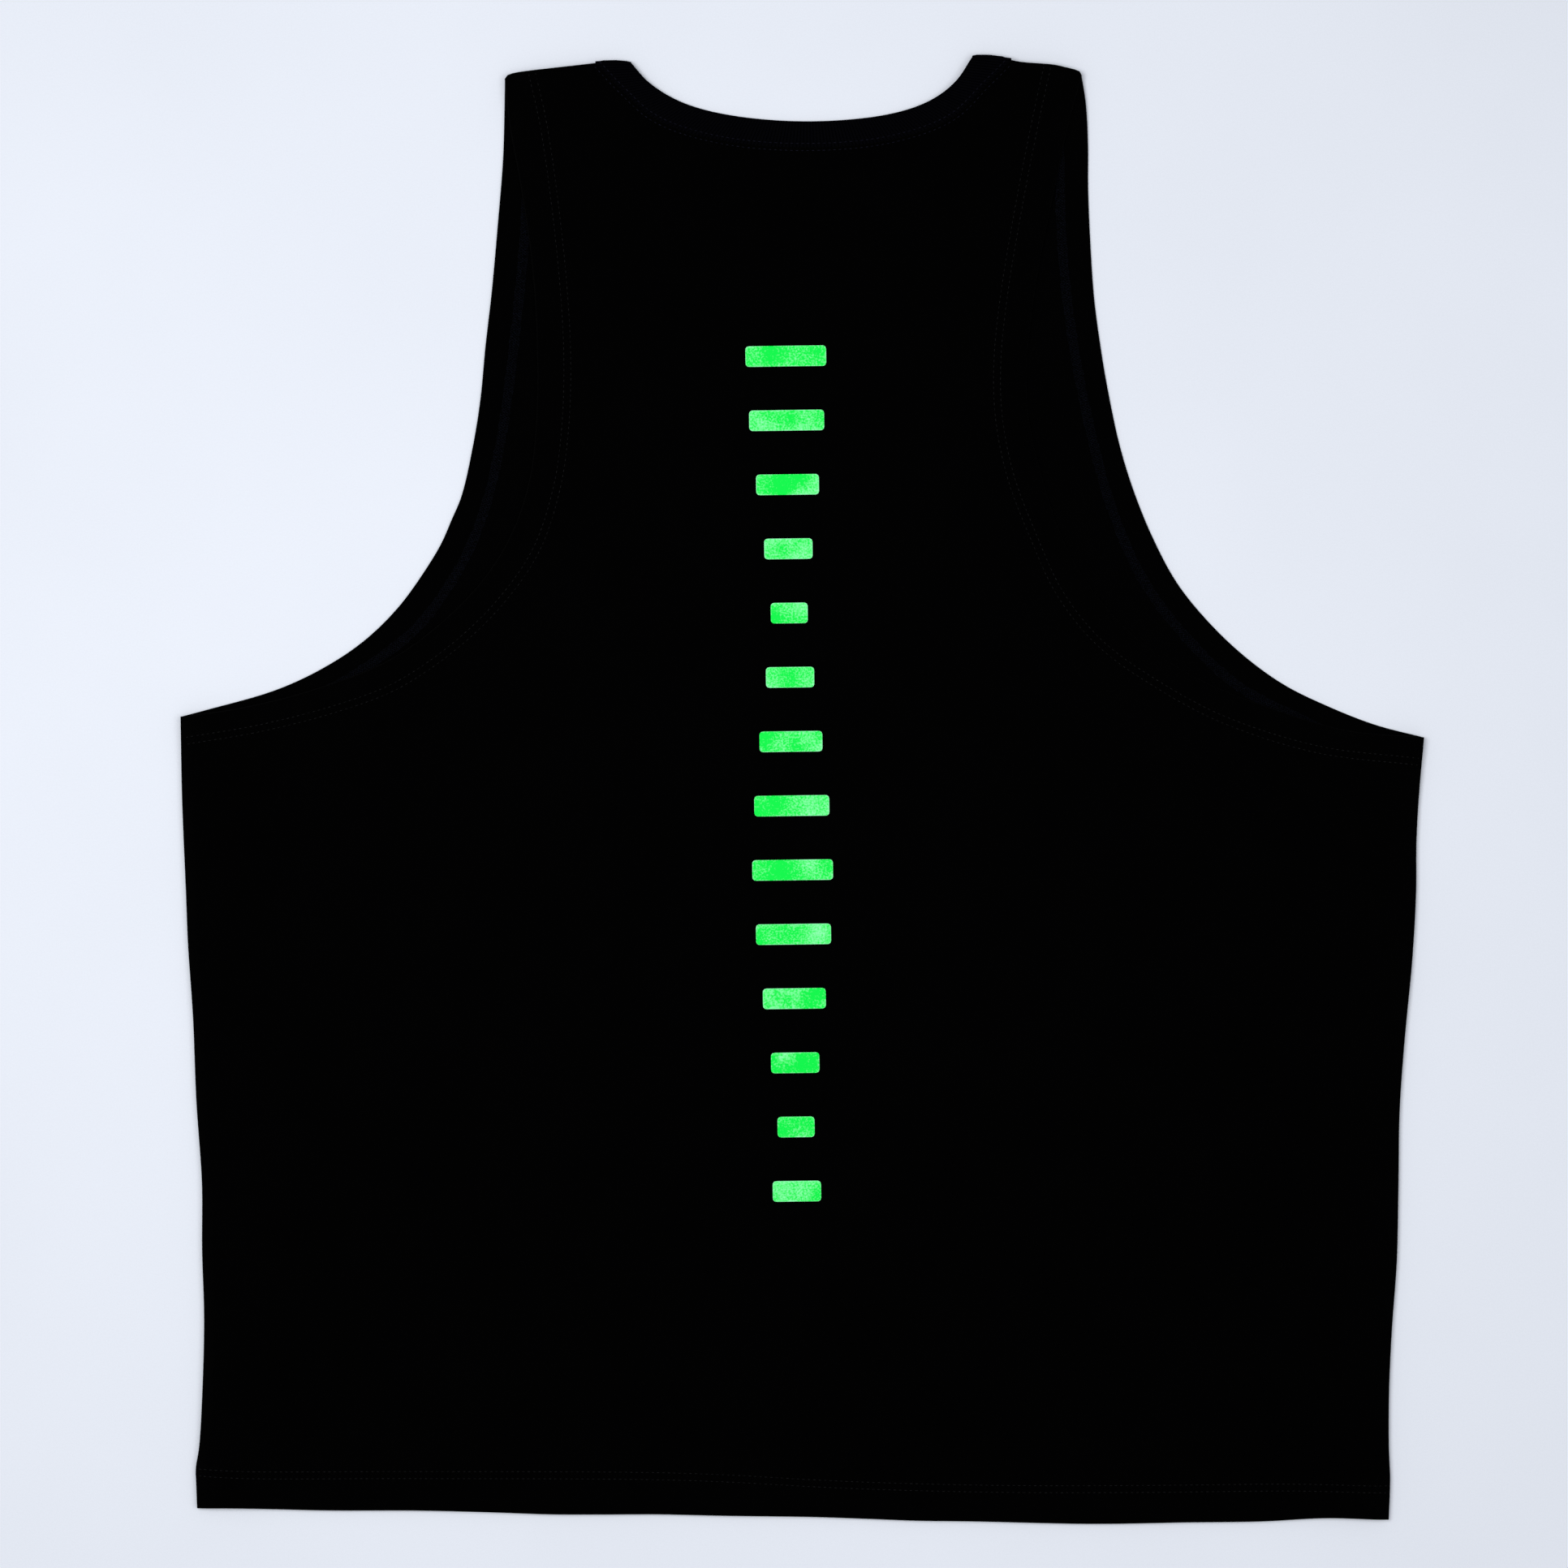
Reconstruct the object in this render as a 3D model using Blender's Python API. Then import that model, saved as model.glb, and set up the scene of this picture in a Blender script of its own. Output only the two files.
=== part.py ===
"""Sleeveless jersey top laid flat with its back side up.

Three sewn pieces: the front panel on the table, the back panel over it, and a folded rib
neckband that runs along the back neckline, turns at the shoulders and returns along the
deeper front neckline. Armhole, bottom and seam edges are turned in, so they are thicker bands.

The tables are in millimetres: x to the right, y from hem to shoulders, z up from the table.
"""

import math

import bpy
import numpy as np
from mathutils.geometry import delaunay_2d_cdt

MM = 0.001

# Cloth, in millimetres
WALL = 1.0  # one layer of jersey
TURNED = 1.6  # a turned hem or a seam with its allowance
RIB = 1.8  # the folded neckband
SEAM_GAP = 0.3  # between sewn pieces
LAYER_GAP = 0.4  # between the back panel and what it lies on
EDGE_ROUND = 0.6  # how far a cloth edge rounds off

# Widths of the turned or seamed band along each edge
ARMHOLE_HEM = 13.0
BOTTOM_HEM = 20.0
SIDE_SEAM = 9.0
SHOULDER_SEAM = 9.0
NECK_SEAM = 7.0
BAND_STEP = 1.4  # half the width over which a band's thickness ends

# Mesh spacing
EDGE_STEP = 14.0
NECK_STEP = 9.0
FILL_STEP = 21.5
RIB_STATIONS = 30  # along each half of the neckband
FOLD_TURNS = 4  # facets round the neckband's fold at a shoulder

# Armhole edges, from the shoulder to the armpit: left x, left y, right x, right y
FRONT_ARMHOLES = (
    (-144.0, 343.0, 135.0, 345.0),
    (-144.5, 303.0, 138.0, 300.0),
    (-150.0, 240.0, 141.0, 240.0),
    (-155.0, 193.0, 147.0, 193.0),
    (-160.0, 162.0, 155.0, 162.0),
    (-169.0, 130.0, 166.0, 130.0),
    (-181.0, 107.0, 177.0, 107.0),
    (-200.0, 83.0, 194.0, 83.0),
    (-230.0, 60.0, 214.0, 64.0),
    (-254.0, 48.0, 240.0, 46.5),
    (-279.0, 40.0, 270.0, 33.5),
    (-300.0, 35.0, 300.0, 25.0),
)
BACK_ARMHOLES = (
    (-144.0, 343.0, 135.0, 345.0),
    (-141.0, 319.0, 128.5, 321.0),
    (-136.0, 292.0, 122.0, 291.0),
    (-130.5, 254.0, 113.5, 248.0),
    (-128.0, 215.0, 108.5, 206.0),
    (-128.5, 176.0, 109.5, 178.0),
    (-132.0, 148.0, 117.0, 146.0),
    (-141.0, 122.0, 126.0, 120.0),
    (-155.0, 100.0, 138.0, 99.0),
    (-177.0, 78.0, 159.0, 75.0),
    (-201.0, 61.5, 188.0, 55.0),
    (-236.0, 48.0, 222.0, 40.5),
    (-272.0, 39.0, 262.0, 28.5),
    (-300.0, 35.0, 300.0, 25.0),
)

# Side seams, from armpit to hem: left x, left y, right x, right y
SIDES = (
    (-300.0, 35.0, 300.0, 25.0),
    (-300.0, 0.0, 298.5, 0.0),
    (-297.0, -70.0, 295.0, -70.0),
    (-292.0, -150.0, 289.0, -150.0),
    (-289.5, -190.0, 287.5, -190.0),
    (-288.0, -260.0, 284.0, -265.0),
    (-290.5, -305.0, 283.0, -305.0),
    (-293.0, -330.0, 283.5, -330.0),
    (-292.0, -347.0, 283.0, -352.5),
)

# Bottom edge, left to right: x, y
BOTTOM = (
    (-292.0, -347.0),
    (-230.0, -348.0),
    (-150.0, -349.0),
    (-50.0, -350.5),
    (50.0, -352.5),
    (140.0, -354.5),
    (200.0, -353.5),
    (255.0, -351.5),
    (283.0, -352.5),
)

# Shoulder seams, from the neckband outward: left x, left y, right x, right y
SHOULDERS = (
    (-99.5, 351.0, 100.5, 352.5),
    (-113.0, 349.5, 112.0, 351.0),
    (-132.0, 347.0, 127.0, 349.0),
    (-144.0, 343.0, 135.0, 345.0),
)

# Seams between the panels and the neckband, left to right: x, y
BACK_NECK = (
    (-99.5, 351.0),
    (-88.0, 338.0),
    (-71.0, 323.5),
    (-40.0, 313.5),
    (4.0, 310.0),
    (44.0, 314.0),
    (72.0, 324.0),
    (89.0, 340.0),
    (100.5, 352.5),
)
FRONT_NECK = (
    (-99.5, 351.0),
    (-97.0, 325.0),
    (-90.5, 294.0),
    (-77.0, 268.0),
    (-47.0, 243.0),
    (-1.5, 231.5),
    (45.0, 243.0),
    (74.0, 268.0),
    (88.0, 294.0),
    (96.0, 325.0),
    (100.5, 352.5),
)

# The neckband's folded free edge, left to right: x, y
BACK_FREE = (
    (-82.5, 350.5),
    (-74.0, 341.0),
    (-59.0, 332.0),
    (-35.0, 325.5),
    (4.0, 322.5),
    (42.0, 326.0),
    (62.0, 333.0),
    (74.0, 342.0),
    (82.0, 352.5),
)
FRONT_FREE = (
    (-82.5, 350.5),
    (-84.0, 325.0),
    (-79.0, 298.0),
    (-66.5, 276.0),
    (-41.0, 254.5),
    (-1.5, 243.5),
    (39.0, 254.5),
    (63.5, 276.0),
    (76.5, 298.0),
    (83.5, 325.0),
    (82.0, 352.5),
)

# Where the laid cloth is lifted off the table, both layers: x, y, reach x, reach y, height
LIFTS = (
    (-118.0, 362.0, 62.0, 62.0, 3.0),
    (114.0, 364.0, 62.0, 70.0, 3.4),
    (-318.0, 44.0, 55.0, 42.0, 2.2),
    (318.0, 32.0, 50.0, 46.0, 2.6),
)

# Soft folds of the back panel: x, y, angle in degrees, length, width, height
FOLDS = (
    (-214.0, 22.0, -38.0, 150.0, 70.0, 1.8),
    (206.0, 2.0, 216.0, 160.0, 76.0, 1.6),
    (-186.0, -150.0, 84.0, 300.0, 84.0, 1.4),
    (168.0, -190.0, 97.0, 280.0, 90.0, 1.6),
    (-60.0, -245.0, 62.0, 190.0, 80.0, 1.0),
    (52.0, 60.0, 104.0, 240.0, 78.0, 1.1),
    (-72.0, 128.0, 74.0, 200.0, 66.0, 1.2),
    (-262.0, -255.0, 78.0, 170.0, 62.0, 1.5),
    (252.0, -96.0, 92.0, 190.0, 60.0, 1.5),
    (-20.0, -118.0, 24.0, 250.0, 96.0, 0.8),
    (96.0, -48.0, 152.0, 210.0, 84.0, 0.7),
    (-124.0, -30.0, 118.0, 190.0, 72.0, 0.9),
    (110.0, -300.0, 12.0, 180.0, 60.0, 0.8),
)
SIDE_PUFF = 1.4  # how far the back panel stands off the front along the side seams
SIDE_PUFF_REACH = 52.0

# How far from a step in what lies below it the back panel starts to rise
DRAPE = 26.0
SCOOP_DRAPE = 46.0

COLOURS = {
    "front_panel": (0.012, 0.012, 0.014),
    "back_panel": (0.014, 0.014, 0.016),
    "neckband": (0.020, 0.021, 0.025),
}


def clear_scene():
    for old in list(bpy.data.objects):
        bpy.data.objects.remove(old, do_unlink=True)


def smooth(value):
    """0 below 0, 1 above 1, and an even curve between."""
    held = np.clip(value, 0.0, 1.0)
    return held * held * (3.0 - 2.0 * held)


def side(table, right):
    """The left or right half of a table of two sides."""
    rows = np.array(table)
    return rows[:, 2:4] if right else rows[:, 0:2]


def curve(points, step):
    """Points along a smooth curve through the given ones, about a step apart."""
    points = np.asarray(points, float)
    ends = (2 * points[0] - points[1], 2 * points[-1] - points[-2])
    held = np.vstack((ends[0], points, ends[1]))
    fine = [points[0]]
    parts = np.linspace(0.0, 1.0, 25)[1:]
    for a, b, c, d in zip(held, held[1:], held[2:], held[3:]):
        knots = np.cumsum([0.0] + [math.sqrt(np.linalg.norm(q - p)) for p, q in ((a, b), (b, c), (c, d))])
        for part in parts:
            t = knots[1] + part * (knots[2] - knots[1])
            fine.append(knot_point((a, b, c, d), knots, t))
    fine = np.array(fine)
    run = np.concatenate(([0.0], np.cumsum(np.linalg.norm(np.diff(fine, axis=0), axis=1))))
    count = max(2, int(round(run[-1] / step)) + 1)
    stations = np.linspace(0.0, run[-1], count)
    return np.column_stack([np.interp(stations, run, fine[:, axis]) for axis in (0, 1)])


def knot_point(controls, knots, t):
    """One point of a centripetal Catmull-Rom span."""
    level = list(controls)
    for spans in (((0, 1), (1, 2), (2, 3)), ((0, 2), (1, 3)), ((1, 2),)):
        made = []
        for i, (low, high) in enumerate(spans):
            share = (t - knots[low]) / (knots[high] - knots[low])
            made.append((1.0 - share) * level[i] + share * level[i + 1])
        level = made
    return level[0]


def outline(armholes, neck):
    """A panel's edge, anticlockwise from the left end of its neck seam, and each edge's band width."""
    edges = (
        (side(SHOULDERS, False), EDGE_STEP, SHOULDER_SEAM),
        (side(armholes, False), EDGE_STEP, ARMHOLE_HEM),
        (side(SIDES, False), EDGE_STEP, SIDE_SEAM),
        (np.array(BOTTOM), EDGE_STEP, BOTTOM_HEM),
        (side(SIDES, True)[::-1], EDGE_STEP, SIDE_SEAM),
        (side(armholes, True)[::-1], EDGE_STEP, ARMHOLE_HEM),
        (side(SHOULDERS, True)[::-1], EDGE_STEP, SHOULDER_SEAM),
        (np.array(neck)[::-1], NECK_STEP, NECK_SEAM),
    )
    points = []
    widths = []
    for table, step, width in edges:
        run = curve(table, step)[:-1]
        points.extend(run)
        widths.extend([width] * len(run))
    return np.array(points), np.array(widths)


def inset(points, widths):
    """Each corner of a closed outline moved in, its two sides by their own widths."""
    along = np.roll(points, -1, axis=0) - points
    along /= np.linalg.norm(along, axis=1)[:, None]
    inward = np.column_stack((-along[:, 1], along[:, 0]))
    moved = []
    for i, corner in enumerate(points):
        before, after = inward[i - 1], inward[i]
        turn = before[0] * after[1] - before[1] * after[0]
        if abs(turn) < 0.35:
            mean = before + after
            width = (widths[i - 1] + widths[i]) / 2.0
            moved.append(corner + mean * width * 2.0 / float(mean @ mean))
        else:
            moved.append(corner + np.linalg.solve(np.array((before, after)), (widths[i - 1], widths[i])))
    return np.array(moved)


def edge_distance(points, line, closed=False):
    """Distance from each point to a line of points."""
    starts = line if closed else line[:-1]
    ends = np.roll(line, -1, axis=0) if closed else line[1:]
    nearest = np.full(len(points), np.inf)
    for start, end in zip(starts, ends):
        run = end - start
        share = np.clip((points - start) @ run / (run @ run), 0.0, 1.0)
        gap = np.linalg.norm(points - start - share[:, None] * run, axis=1)
        nearest = np.minimum(nearest, gap)
    return nearest


def inside(points, line):
    """Whether each point lies within a closed line."""
    held = np.zeros(len(points), bool)
    x, y = points[:, 0], points[:, 1]
    for (ax, ay), (bx, by) in zip(line, np.roll(line, -1, axis=0)):
        if ay == by:
            continue
        crossed = (ay > y) != (by > y)
        held ^= crossed & (x < (bx - ax) * (y - ay) / (by - ay) + ax)
    return held


def spaced(ring, least):
    """A closed ring without the points that crowd the ones before them."""
    kept = [ring[0]]
    for point in ring[1:]:
        if np.linalg.norm(point - kept[-1]) >= least and np.linalg.norm(point - kept[0]) >= least:
            kept.append(point)
    return np.array(kept)


def band_ring(points, widths, change):
    """The ring where a panel's edge bands start or end their change of thickness."""
    target = widths + change
    ring = inset(points, target)
    far = edge_distance(ring, points, closed=True)
    least = np.minimum(target, np.roll(target, 1)) - 0.5
    return spaced(ring[(far > least) & inside(ring, points)], EDGE_STEP * 0.42)


def fill_points(boundary):
    """Staggered points that fill the inside of a ring."""
    low, high = boundary.min(axis=0), boundary.max(axis=0)
    row_step = FILL_STEP * math.sqrt(3.0) / 2.0
    rows = []
    for number, y in enumerate(np.arange(low[1] + row_step, high[1], row_step)):
        shift = FILL_STEP / 2.0 if number % 2 else 0.0
        for x in np.arange(low[0] + shift, high[0], FILL_STEP):
            rows.append((x, y))
    grid = np.array(rows)
    grid = grid[inside(grid, boundary)]
    return grid[edge_distance(grid, boundary, closed=True) > FILL_STEP * 0.5]


def ring_edges(start, count):
    return [(start + i, start + (i + 1) % count) for i in range(count)]


def tiles(points, widths, ridge):
    """Plan points and triangles of a panel; the first points are its rounded edge's inner ring."""
    edge = inset(points, np.full(len(points), EDGE_ROUND))
    rings = [edge, band_ring(points, widths, -BAND_STEP), band_ring(points, widths, BAND_STEP)]
    fill = fill_points(rings[-1])
    if len(ridge):
        clear = edge_distance(ridge, rings[-1], closed=True) > FILL_STEP * 0.4
        ridge = ridge[clear & inside(ridge, rings[-1])]
        fill = np.vstack((ridge, fill[edge_distance(fill, ridge) > FILL_STEP * 0.5]))
    plan = np.vstack(rings + [fill])
    edges = []
    start = 0
    for ring in rings:
        edges.extend(ring_edges(start, len(ring)))
        start += len(ring)
    edges.extend((start + i, start + i + 1) for i in range(len(ridge) - 1))
    flat, _, faces, *_ = delaunay_2d_cdt(plan.tolist(), edges, [list(range(len(edge)))], 1, 1e-6)
    return np.array(flat), [tuple(face) for face in faces], len(edge)


def band_share(plan, armholes, neck):
    """How much of the turned thickness each plan point has: 1 at the edges, 0 in the field."""
    runs = (
        (side(SHOULDERS, False), SHOULDER_SEAM),
        (side(SHOULDERS, True), SHOULDER_SEAM),
        (side(armholes, False), ARMHOLE_HEM),
        (side(armholes, True), ARMHOLE_HEM),
        (side(SIDES, False), SIDE_SEAM),
        (side(SIDES, True), SIDE_SEAM),
        (np.array(BOTTOM), BOTTOM_HEM),
        (np.array(neck), NECK_SEAM),
    )
    share = np.zeros(len(plan))
    for table, width in runs:
        far = edge_distance(plan, curve(table, NECK_STEP))
        share = np.maximum(share, smooth((width + BAND_STEP - far) / (2.0 * BAND_STEP)))
    return share


def lift(plan):
    """How far the table side of the cloth stands off the table."""
    height = np.zeros(len(plan))
    for x, y, reach_x, reach_y, top in LIFTS:
        far = np.hypot((plan[:, 0] - x) / reach_x, (plan[:, 1] - y) / reach_y)
        height += top * smooth(1.0 - far)
    return height


def fold_height(plan):
    """The soft folds of the back panel."""
    height = np.zeros(len(plan))
    for x, y, angle, length, width, top in FOLDS:
        turn = math.radians(angle)
        along = (plan[:, 0] - x) * math.cos(turn) + (plan[:, 1] - y) * math.sin(turn)
        across = -(plan[:, 0] - x) * math.sin(turn) + (plan[:, 1] - y) * math.cos(turn)
        sides = smooth(1.0 - np.abs(across) * 2.0 / width)
        height += top * sides * smooth(1.0 - np.abs(along) * 2.0 / length)
    return height


def side_puff(plan):
    """The air held between the panels along the side seams."""
    height = np.zeros(len(plan))
    for right in (False, True):
        far = edge_distance(plan, curve(side(SIDES, right), EDGE_STEP))
        share = np.clip(far / SIDE_PUFF_REACH, 0.0, 1.0)
        height += SIDE_PUFF * np.sin(math.pi * np.sqrt(share)) ** 2
    return height


def support(plan):
    """What lies under the back panel, drawn out so that the cloth over it slopes softly."""
    height = np.full(len(plan), WALL)
    for table, width in (
        (side(FRONT_ARMHOLES, False), ARMHOLE_HEM),
        (side(FRONT_ARMHOLES, True), ARMHOLE_HEM),
        (side(SIDES, False), SIDE_SEAM),
        (side(SIDES, True), SIDE_SEAM),
        (side(SHOULDERS, False), SHOULDER_SEAM),
        (side(SHOULDERS, True), SHOULDER_SEAM),
        (np.array(BOTTOM), BOTTOM_HEM),
    ):
        far = edge_distance(plan, curve(table, EDGE_STEP))
        rise = smooth((width + BAND_STEP + DRAPE - far) / DRAPE)
        height = np.maximum(height, WALL + (TURNED - WALL) * rise)
    seam = curve(FRONT_NECK, NECK_STEP)
    far = edge_distance(plan, seam)
    scoop = inside(plan, seam)
    outer = WALL + (RIB - WALL) * smooth((NECK_SEAM + DRAPE - far) / DRAPE)
    free = edge_distance(plan, curve(FRONT_FREE, NECK_STEP))
    over = inside(plan, curve(FRONT_FREE, NECK_STEP))
    inner = np.where(over, RIB * smooth((SCOOP_DRAPE + 6.0 - free) / SCOOP_DRAPE), RIB)
    return np.where(scoop, inner, np.maximum(height, outer))


def back_under(plan):
    """Height of the back panel's inner side."""
    return lift(plan) + support(plan) + LAYER_GAP + fold_height(plan) + side_puff(plan)


def make_object(name, vertices, faces):
    mesh = bpy.data.meshes.new(name)
    mesh.from_pydata([tuple(float(c) * MM for c in vertex) for vertex in vertices], [], faces)
    mesh.validate()
    made = bpy.data.objects.new(name, mesh)
    bpy.context.collection.objects.link(made)
    material = bpy.data.materials.new(name + "_cloth")
    material.use_nodes = True
    shader = material.node_tree.nodes["Principled BSDF"]
    shader.inputs["Base Color"].default_value = (*COLOURS[name], 1.0)
    shader.inputs["Roughness"].default_value = 0.9
    mesh.materials.append(material)
    return made


def panel(name, armholes, neck, under, ridge=()):
    """A panel's closed wall: inner tiles above and below, and a rounded rim at its outline."""
    points, widths = outline(armholes, neck)
    plan, faces, edge_count = tiles(points, widths, ridge)
    low = under(plan)
    high = low + WALL + (TURNED - WALL) * band_share(plan, armholes, neck)
    count = len(plan)
    middle = (low[:edge_count] + high[:edge_count]) / 2.0
    vertices = [(*p, z) for p, z in zip(plan, low)]
    vertices += [(*p, z) for p, z in zip(plan, high)]
    vertices += [(*p, z) for p, z in zip(points, middle)]
    solid = [tuple(reversed(face)) for face in faces]
    solid += [tuple(corner + count for corner in face) for face in faces]
    for a, b in ring_edges(0, edge_count):
        rim_a, rim_b = 2 * count + a, 2 * count + b
        solid += [(a, b, rim_b), (a, rim_b, rim_a)]
        solid += [(rim_a, rim_b, b + count), (rim_a, b + count, a + count)]
    return make_object(name, vertices, solid)


def even(points, count):
    """A curve through the points, cut into evenly spaced stations."""
    fine = curve(points, 2.0)
    run = np.concatenate(([0.0], np.cumsum(np.linalg.norm(np.diff(fine, axis=0), axis=1))))
    stations = np.linspace(0.0, run[-1], count)
    return np.column_stack([np.interp(stations, run, fine[:, axis]) for axis in (0, 1)])


# The neckband's section: share of the way from seam to free edge, share of the way up
RIB_SECTION = (
    (0.0, 0.06),
    (0.90, 0.0),
    (0.985, 0.25),
    (0.985, 0.75),
    (0.90, 1.0),
    (0.0, 0.94),
)


def rib_rows(seam_table, free_table, under):
    """Sections of one half of the neckband, left to right."""
    seams = even(seam_table, RIB_STATIONS)
    frees = even(free_table, RIB_STATIONS)
    across = frees - seams
    across /= np.linalg.norm(across, axis=1)[:, None]
    seams = seams + across * SEAM_GAP
    low_seam, low_free = under(seams), under(frees)
    rows = []
    for i in range(RIB_STATIONS):
        row = []
        for share, up in RIB_SECTION:
            plan = seams[i] + (frees[i] - seams[i]) * share
            height = low_seam[i] + (low_free[i] - low_seam[i]) * share + RIB * up
            row.append((*plan, height))
        rows.append(row)
    return rows


def fold_rows(upper, lower):
    """Sections round the half turn that takes the band from its upper end to its lower end."""
    rows = []
    for number in range(1, FOLD_TURNS):
        turn = math.pi * number / FOLD_TURNS
        row = []
        for i in range(len(upper)):
            top, low = np.array(upper[i]), np.array(lower[len(lower) - 1 - i])
            centre = (top + low) / 2.0
            radius = (top[2] - low[2]) / 2.0
            reach = (0.0, radius * math.sin(turn))
            share = (1.0 - math.cos(turn)) / 2.0
            plan = top[:2] + (low[:2] - top[:2]) * share + reach
            row.append((*plan, centre[2] + radius * math.cos(turn)))
        rows.append(row)
    return rows


def neckband():
    """The folded rib: back half over, front half under, joined by half turns at the shoulders."""
    back = rib_rows(BACK_NECK, BACK_FREE, back_under)
    front = rib_rows(FRONT_NECK, FRONT_FREE, lift)
    flipped = [[row[len(row) - 1 - i] for i in range(len(row))] for row in front]
    rows = back + fold_rows(back[-1], front[-1]) + flipped[::-1] + fold_rows(back[0], front[0])[::-1]
    size = len(RIB_SECTION)
    vertices = [point for row in rows for point in row]
    faces = []
    for a in range(len(rows)):
        b = (a + 1) % len(rows)
        for i in range(size):
            j = (i + 1) % size
            p, q, r, s = a * size + i, a * size + j, b * size + j, b * size + i
            faces += [(p, q, r), (p, r, s)]
    return make_object("neckband", vertices, faces)


def main():
    clear_scene()
    panel("front_panel", FRONT_ARMHOLES, FRONT_NECK, lift)
    panel("back_panel", BACK_ARMHOLES, BACK_NECK, back_under, curve(FRONT_NECK, EDGE_STEP))
    neckband()


main()
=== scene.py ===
import math

import bpy
import numpy as np
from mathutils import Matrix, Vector
from mathutils.geometry import delaunay_2d_cdt
from mathutils.kdtree import KDTree


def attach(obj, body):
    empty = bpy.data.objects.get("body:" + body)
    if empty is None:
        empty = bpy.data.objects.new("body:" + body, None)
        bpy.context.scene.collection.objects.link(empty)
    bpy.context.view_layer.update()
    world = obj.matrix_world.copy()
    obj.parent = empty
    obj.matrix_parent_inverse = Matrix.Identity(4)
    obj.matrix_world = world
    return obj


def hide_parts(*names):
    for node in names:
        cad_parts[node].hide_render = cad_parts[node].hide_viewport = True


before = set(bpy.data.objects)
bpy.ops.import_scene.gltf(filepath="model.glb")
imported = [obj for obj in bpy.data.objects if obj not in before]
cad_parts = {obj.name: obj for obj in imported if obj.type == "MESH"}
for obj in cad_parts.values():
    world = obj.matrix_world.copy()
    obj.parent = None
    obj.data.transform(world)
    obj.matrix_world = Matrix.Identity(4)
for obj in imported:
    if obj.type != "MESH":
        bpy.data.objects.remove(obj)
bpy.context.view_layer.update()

# Sleeveless jersey top laid flat with its back side up. Tables are in millimetres, in the
# part's own frame: x to the right, y from hem to shoulders, z up from the table.
MM = 0.001

# ---- the cloth's sizes and outline
WALL = 1.0  # one layer of jersey
TURNED = 1.6  # a turned hem, or a seam with its allowance
RIB = 1.8  # the folded neckband
LAYER_GAP = 0.4  # between the back panel and what it lies on
SEAM_PRESS = 0.3  # how much closer the layers lie at side and shoulder seams
SEAM_PRESS_REACH = 7.0
EDGE_ROUND = 0.7  # how far a cloth edge rounds off

# Widths of the turned or seamed band along each edge
ARMHOLE_HEM = 13.6
BOTTOM_HEM = 18.5
SIDE_SEAM = 8.0
SHOULDER_SEAM = 8.0
NECK_SEAM = 6.5
BAND_STEP = 1.5  # half the width over which a band's thickness ends

# Armhole edges, from shoulder to armpit: left x, left y, right x, right y
FRONT_ARMHOLES = (
    (-143.5, 342.4, 134.8, 344), (-143.9, 322, 136.9, 331), (-144.6, 303, 138, 312),
    (-147.2, 271, 138.1, 290), (-150, 240, 139.1, 265), (-153, 214, 141, 237),
    (-155.5, 188, 144.2, 213), (-159.4, 164, 147.2, 195), (-164.6, 141.5, 153.2, 166.5),
    (-169.4, 130, 160.3, 143.5), (-174.2, 119, 169.5, 121), (-181, 107.5, 181, 99.6),
    (-195, 88, 196, 81), (-212, 71.4, 213.5, 64.3), (-231.6, 58.4, 232.8, 50.4),
    (-254, 48, 254, 40), (-287.5, 38.3, 277, 31), (-299.8, 35, 299.8, 25),
)
BACK_ARMHOLES = (
    (-143.5, 342.4, 134.8, 344), (-141, 319, 128.5, 321), (-136, 292, 122, 291),
    (-130.5, 254, 113.5, 248), (-128, 215, 108.5, 206), (-128.5, 176, 109.5, 178),
    (-132, 148, 117, 146), (-141, 122, 126, 120), (-155, 100, 138, 99), (-177, 78, 159, 75),
    (-201, 61.5, 188, 55), (-236, 48, 222, 40.5), (-272, 39, 262, 28.5), (-299.8, 35, 299.8, 25),
)
# Side seams, from armpit to hem
SIDES = (
    (-299.8, 35, 299.8, 25), (-299.4, 0, 297.8, 0), (-297.4, -50, 296.4, -25),
    (-296.4, -75, 296.2, -50), (-294, -110, 294.4, -82), (-292.4, -150, 290.7, -121),
    (-289.7, -190, 288.3, -155), (-289.6, -222, 287.7, -192), (-288.6, -258, 286.9, -228),
    (-290, -303, 284.6, -260), (-291.1, -318, 283.2, -290), (-292.7, -328, 283.1, -318),
    (-292.5, -334, 283.7, -333), (-292, -347, 283, -352.5),
)
# Bottom edge, left to right: x, y
BOTTOM = (
    (-292, -347), (-278, -346.8), (-230, -348), (-185, -348.1), (-145, -349.1), (-122, -349.9),
    (-98, -350), (-70, -349.9), (-38, -350.6), (6, -351.2), (32, -352.1), (56, -353),
    (82, -353.3), (140, -354.5), (185, -353.8), (222, -353.3), (255, -351.6), (283, -352.5),
)
# Shoulder seams, from the neckband outward: left x, left y, right x, right y
SHOULDERS = (
    (-99.5, 350, 100.5, 351.3), (-106, 349.2, 106, 350.3), (-114, 348.3, 112.5, 349.8),
    (-122, 347.4, 121.5, 349.1), (-132, 346.3, 126.5, 348), (-139.5, 345.2, 132, 346.7),
    (-142.3, 344.2, 134, 345.7), (-143.5, 342.4, 134.8, 344),
)
# Seams between the panels and the neckband, left to right: x, y
BACK_NECK = (
    (-99.5, 350), (-88, 338), (-71, 323.5), (-40, 313.5), (4, 310), (44, 314), (72, 324),
    (89, 340), (100.5, 351.3),
)
FRONT_NECK = (
    (-99.5, 350), (-97, 325), (-90.5, 294), (-77, 268), (-47, 243), (-1.5, 231.5), (45, 243),
    (74, 268), (88, 294), (96, 325), (100.5, 351.3),
)
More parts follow.
